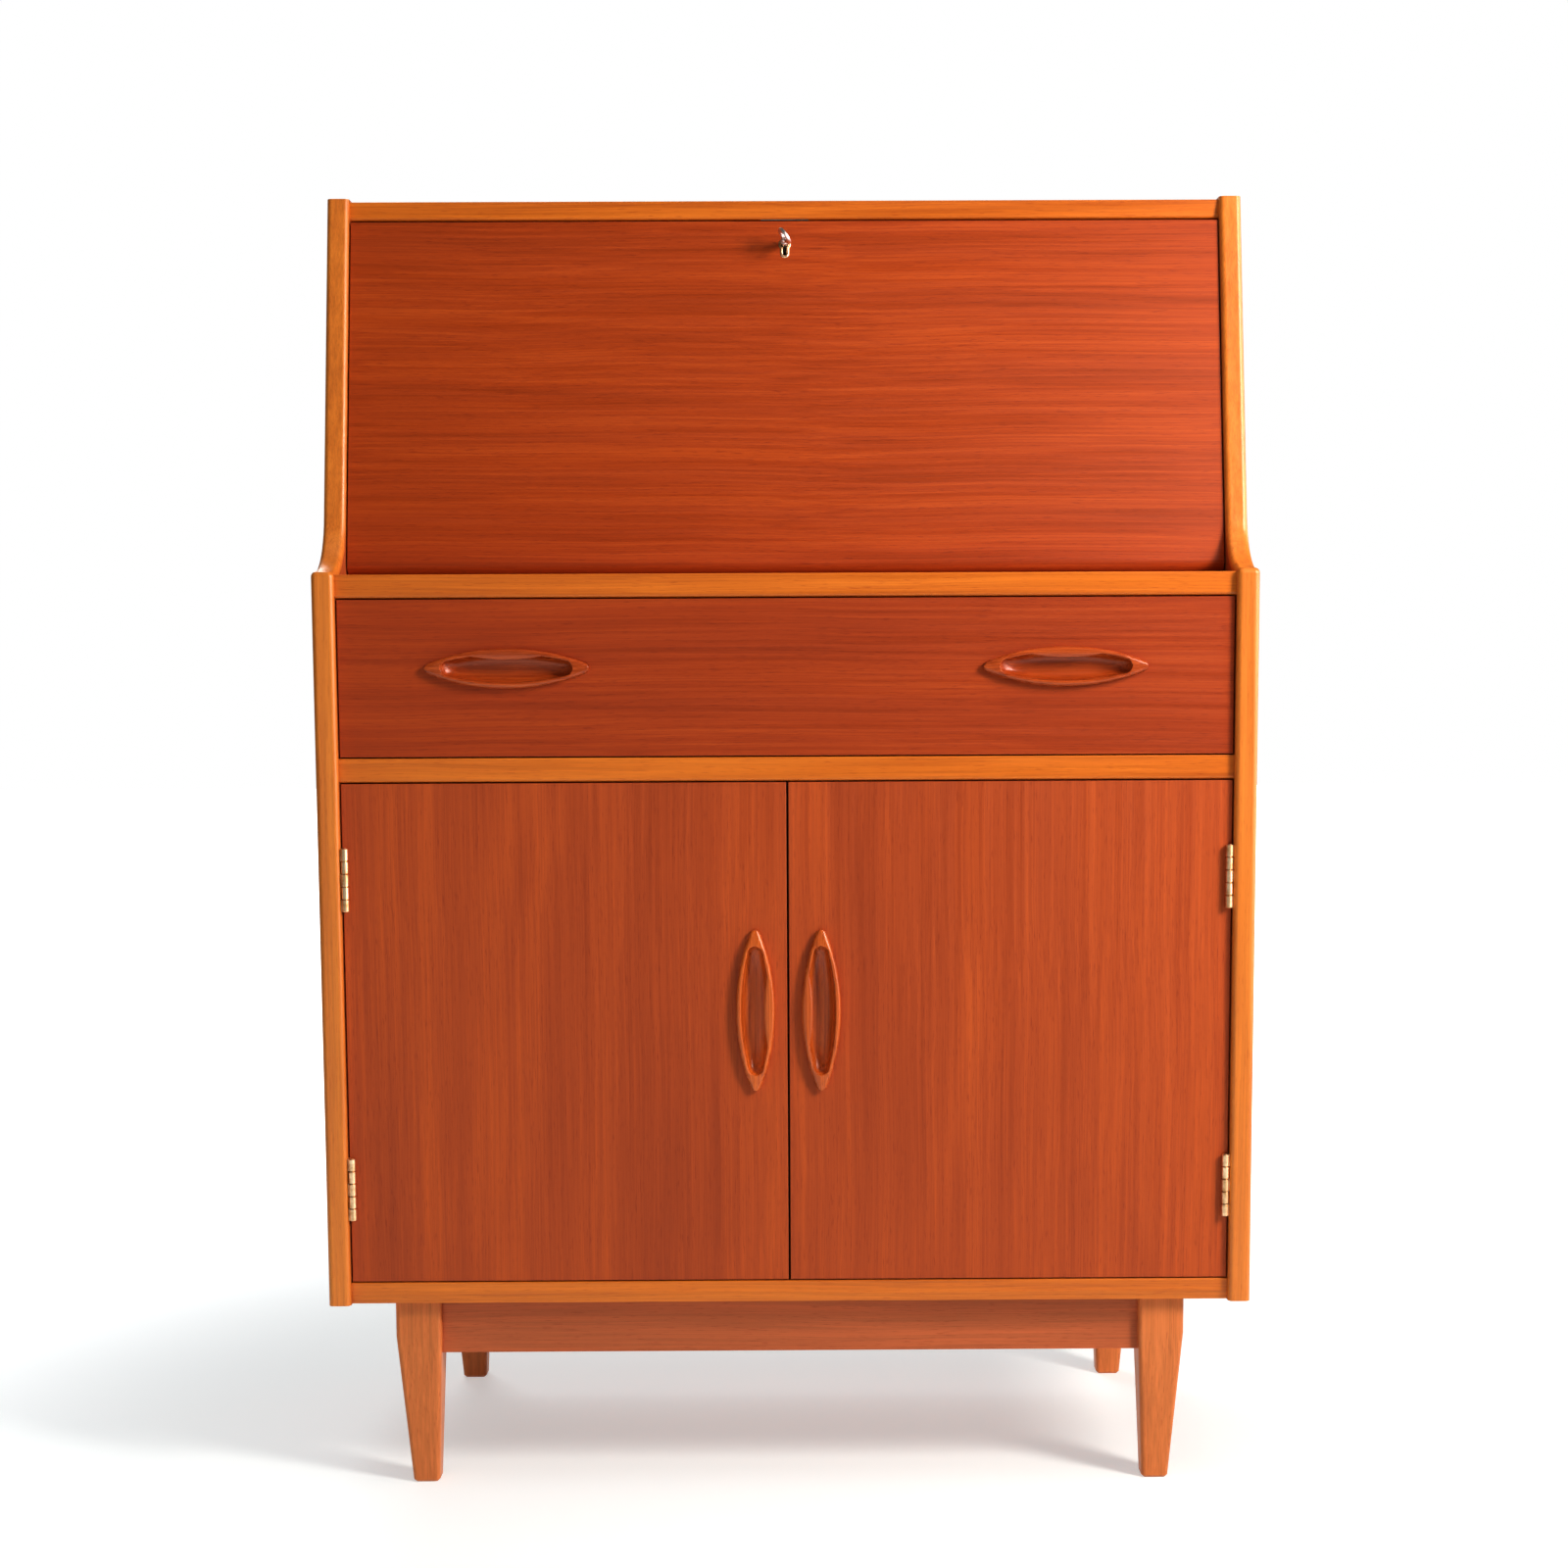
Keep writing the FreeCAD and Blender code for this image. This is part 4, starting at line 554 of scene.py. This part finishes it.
def screw_setter():
    """Geometry Nodes tree that sets a screw at every point of a mesh, driven along its way and turned at
    random."""
    tree = bpy.data.node_groups.new("screw_setter", "GeometryNodeTree")
    sockets = {}
    for label, kind in (("Places", "NodeSocketGeometry"), ("Screw", "NodeSocketObject"),
                        ("Seed", "NodeSocketInt"), ("Finish", "NodeSocketMaterial")):
        sockets[label] = tree.interface.new_socket(label, in_out="INPUT", socket_type=kind).identifier
    tree.interface.new_socket("Screws", in_out="OUTPUT", socket_type="NodeSocketGeometry")
    given = add(tree, "NodeGroupInput")
    screw = add(tree, "GeometryNodeObjectInfo", {"Object": given.outputs["Screw"]})
    way = add(tree, "GeometryNodeInputNamedAttribute", {"Name": "way"}, data_type="FLOAT_VECTOR")
    size = add(tree, "GeometryNodeInputNamedAttribute", {"Name": "size"}, data_type="FLOAT")
    drive = add(tree, "FunctionNodeAlignRotationToVector", {"Vector": way.outputs["Attribute"]}, axis="Z")
    placed = add(tree, "GeometryNodeInstanceOnPoints",
                 {"Points": given.outputs["Places"], "Instance": screw.outputs["Geometry"],
                  "Rotation": drive.outputs["Rotation"], "Scale": size.outputs["Attribute"]})
    turn = add(tree, "FunctionNodeRandomValue", {"Seed": given.outputs["Seed"]}, data_type="FLOAT")
    angle = add(tree, "ShaderNodeMath", {0: turn.outputs[1], 1: math.pi}, operation="MULTIPLY")
    about = add(tree, "ShaderNodeCombineXYZ", {"Z": angle.outputs[0]})
    driven = add(tree, "GeometryNodeRotateInstances", {"Instances": placed.outputs[0],
                                                       "Rotation": about.outputs[0]})
    real = add(tree, "GeometryNodeRealizeInstances", {"Geometry": driven.outputs[0]})
    coloured = add(tree, "GeometryNodeSetMaterial", {"Geometry": real.outputs[0],
                                                     "Material": given.outputs["Finish"]})
    add(tree, "NodeGroupOutput", {"Screws": coloured.outputs[0]})
    return tree, sockets


def screw_places(node):
    """Head centre, driving direction and head radius of each screw of a CAD node."""
    found = []
    for points in loose_parts(node):
        middle = points.mean(0)
        centre = (points.min(0) + points.max(0)) / 2
        along = np.linalg.svd(points - middle, full_matrices=False)[2][0]
        reach = (points - centre) @ along
        radius = np.linalg.norm(points - centre - np.outer(reach, along), axis=1)
        if radius[reach > 0].max() > radius[reach < 0].max():
            along, reach = -along, -reach
        head = points[reach < reach.min() + HEAD_FLAT * MM]
        found.append((head.mean(0), along, radius.max()))
    return found


def set_screws(name, nodes, body, slot, seed):
    """The screws of the given CAD nodes as one mesh on one body, each in the place of the CAD's."""
    heads, ways, radii = zip(*[place for node in nodes for place in screw_places(node)])
    mesh = bpy.data.meshes.new(name + "_places")
    mesh.from_pydata([tuple(head) for head in heads], [], [])
    way = mesh.attributes.new("way", "FLOAT_VECTOR", "POINT")
    way.data.foreach_set("vector", np.array(ways, np.float32).ravel())
    size = mesh.attributes.new("size", "FLOAT", "POINT")
    size.data.foreach_set("value", np.array([radius / (SCREW_HEAD_R * MM) for radius in radii], np.float32))
    holder = bpy.data.objects.new(name + "_places", mesh)
    bpy.context.scene.collection.objects.link(holder)
    setter = holder.modifiers.new("screws", "NODES")
    setter.node_group = setter_tree
    setter[setter_sockets["Screw"]] = pattern_screw
    setter[setter_sockets["Seed"]] = seed
    setter[setter_sockets["Finish"]] = FINISHES[slot]
    bpy.context.view_layer.update()
    ready = holder.evaluated_get(bpy.context.evaluated_depsgraph_get())
    made = bpy.data.objects.new(name, bpy.data.meshes.new_from_object(ready))
    bpy.context.scene.collection.objects.link(made)
    bpy.data.objects.remove(holder)
    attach(made, body)
    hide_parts(*nodes)


pattern_screw = slotted_screw()
setter_tree, setter_sockets = screw_setter()
set_screws("slotted_screws_case", ["case_screws"], "case", "steel", 3)
set_screws("slotted_screws_frame", ["frame_screws"], "case", "steel", 5)
set_screws("slotted_screws_door_left", ["door_screws_left"], "door_left", "brass", 7)
set_screws("slotted_screws_door_right", ["door_screws_right"], "door_right", "brass", 11)
set_screws("slotted_screws_fall", ["bracket_screws"], "fall", "brass", 13)
bpy.data.objects.remove(pattern_screw)


# ---- floor, light and camera ----------------------------------------------------------------------
# The floor's glow to the camera: its share at the desk, its strength, and its share in polish.
GLOW_NEAR, GLOW_POWER, GLOW_MIRRORED = 0.29, 1.8, 0.55
FLOOR_HALF = 14.0


def studio_floor():
    """Matt white floor. To the camera it glows a little, and wholly so away from the desk, so that it runs
    into the white surround without an edge; polish mirrors some of this glow, but nothing is lit by it."""
    bm = bmesh.new()
    bmesh.ops.create_grid(bm, x_segments=8, y_segments=8, size=FLOOR_HALF)
    made, tree, shader = finish("matt_white_floor")
    place = add(tree, "ShaderNodeTexCoord")
    mottle = add(tree, "ShaderNodeTexNoise", {"Vector": place.outputs["Object"], "Scale": 3.0, "Detail": 3.0})
    paint = add(tree, "ShaderNodeMix",
                {0: mottle.outputs["Fac"], 6: linear("EEF8FB"), 7: linear("E9F4F8")}, data_type="RGBA")
    tree.links.new(paint.outputs[2], shader.inputs["Base Color"])
    shader.inputs["Roughness"].default_value = 0.8
    shader.inputs["Specular IOR Level"].default_value = 0.2
    reach = add(tree, "ShaderNodeVectorMath", {0: place.outputs["Object"]}, operation="LENGTH")
    far = add(tree, "ShaderNodeMapRange",
              {"Value": reach.outputs["Value"], "From Min": 0.5, "From Max": 1.6, "To Min": GLOW_NEAR,
               "To Max": 1.0}, interpolation_type="SMOOTHSTEP")
    path = add(tree, "ShaderNodeLightPath")
    # In front of the desk the floor shows as a soft sheen on the lower doors.
    near = add(tree, "ShaderNodeMapRange", {"Value": reach.outputs["Value"], "From Min": 1.8, "From Max": 4.0,
                                            "To Min": GLOW_MIRRORED, "To Max": 0.0})
    mirrored = add(tree, "ShaderNodeMath", {0: near.outputs[0], 1: path.outputs["Is Glossy Ray"]},
                   operation="MULTIPLY")
    seen = add(tree, "ShaderNodeMath", {0: far.outputs[0], 1: path.outputs["Is Camera Ray"],
                                        2: mirrored.outputs[0]}, operation="MULTIPLY_ADD")
    glow = add(tree, "ShaderNodeEmission", {"Color": linear("FFFFFF"), "Strength": GLOW_POWER})
    both = add(tree, "ShaderNodeMixShader", {0: seen.outputs[0], 1: shader.outputs[0], 2: glow.outputs[0]})
    tree.links.new(both.outputs[0], tree.nodes["Material Output"].inputs["Surface"])
    floor = solid_object("studio_floor", bm, made)


def soft_light(name, azimuth, elevation, distance, width, height, power, code, glare=True, lights=True,
               aim=(0.0, 0.0, 0.6)):
    """A softbox, in degrees, metres and watts; azimuth 0 is in front of the desk and 90 on its right.
    Without glare, polish doesn't mirror it, and one that doesn't light is seen only in polish."""
    data = bpy.data.lights.new(name, "AREA")
    data.shape = "RECTANGLE"
    data.size, data.size_y = width, height
    data.energy = power
    data.color = linear(code)[:3]
    made = bpy.data.objects.new(name, data)
    bpy.context.scene.collection.objects.link(made)
    turn, rise = math.radians(azimuth), math.radians(elevation)
    away = Vector((math.sin(turn) * math.cos(rise), -math.cos(turn) * math.cos(rise), math.sin(rise)))
    made.location = Vector(aim) + away * distance
    made.rotation_euler = (-away).to_track_quat("-Z", "Y").to_euler()
    made.visible_glossy = glare
    made.visible_diffuse = lights


def studio():
    """White surround that the camera sees brighter than it lights the desk, a window low on the right with a
    pale wall beside it, and weak fills that leave no glare on the polish."""
    world = bpy.data.worlds.new("studio_surround")
    bpy.context.scene.world = world
    world.use_nodes = True
    tree = world.node_tree
    tree.nodes.clear()
    path = add(tree, "ShaderNodeLightPath")
    seen = add(tree, "ShaderNodeBackground", {"Color": linear("FFFFFF"), "Strength": 1.0})
    lighting = add(tree, "ShaderNodeBackground", {"Color": linear("FFFDFA"), "Strength": 0.13})
    either = add(tree, "ShaderNodeMixShader", {0: path.outputs["Is Camera Ray"], 1: lighting.outputs[0],
                                               2: seen.outputs[0]})
    add(tree, "ShaderNodeOutputWorld", {"Surface": either.outputs[0]})
    at_fall = (0.0, 0.0, 0.66)
    soft_light("window_light", 50, 23, 2.0, 0.42, 0.70, 42, "FFF6EC", glare=False, aim=at_fall)
    soft_light("window_glare", 50, 23, 2.0, 0.80, 1.10, 60, "FFF6F2", lights=False, aim=at_fall)
    soft_light("window_wall", 84, 12, 2.6, 3.0, 2.0, 115, "FFF0EA", lights=False)
    soft_light("room_light", -20, 3, 2.6, 1.6, 1.0, 9, "FFFFFF", glare=False, aim=(-0.1, 0.0, 0.35))
    soft_light("ceiling_light", 0, 80, 2.8, 2.2, 1.6, 24, "FFFFFF", glare=False)
    soft_light("back_light", 200, 35, 3.4, 1.6, 1.6, 40, "FFFFFF")


def viewpoint():
    """Camera 2 m in front of the desk's face, looking slightly down, with the frame shifted up."""
    data = bpy.data.cameras.new("viewpoint")
    data.sensor_width = 36.0
    data.lens = 56.68
    data.shift_x, data.shift_y = -0.0170, 0.1041
    made = bpy.data.objects.new("viewpoint", data)
    bpy.context.scene.collection.objects.link(made)
    down, aside, roll = 0.1061, 0.0053, -0.0045
    made.location = (0.0079, -2.1989, 0.6683)
    turn = (Matrix.Rotation(-aside, 3, "Z") @ Matrix.Rotation(math.pi / 2 - down, 3, "X")
            @ Matrix.Rotation(roll, 3, "Z"))
    made.rotation_euler = turn.to_euler()
    bpy.context.scene.camera = made


studio_floor()
studio()
viewpoint()
bpy.context.scene.view_settings.view_transform = "Standard"
bpy.context.scene.view_settings.gamma = 0.78
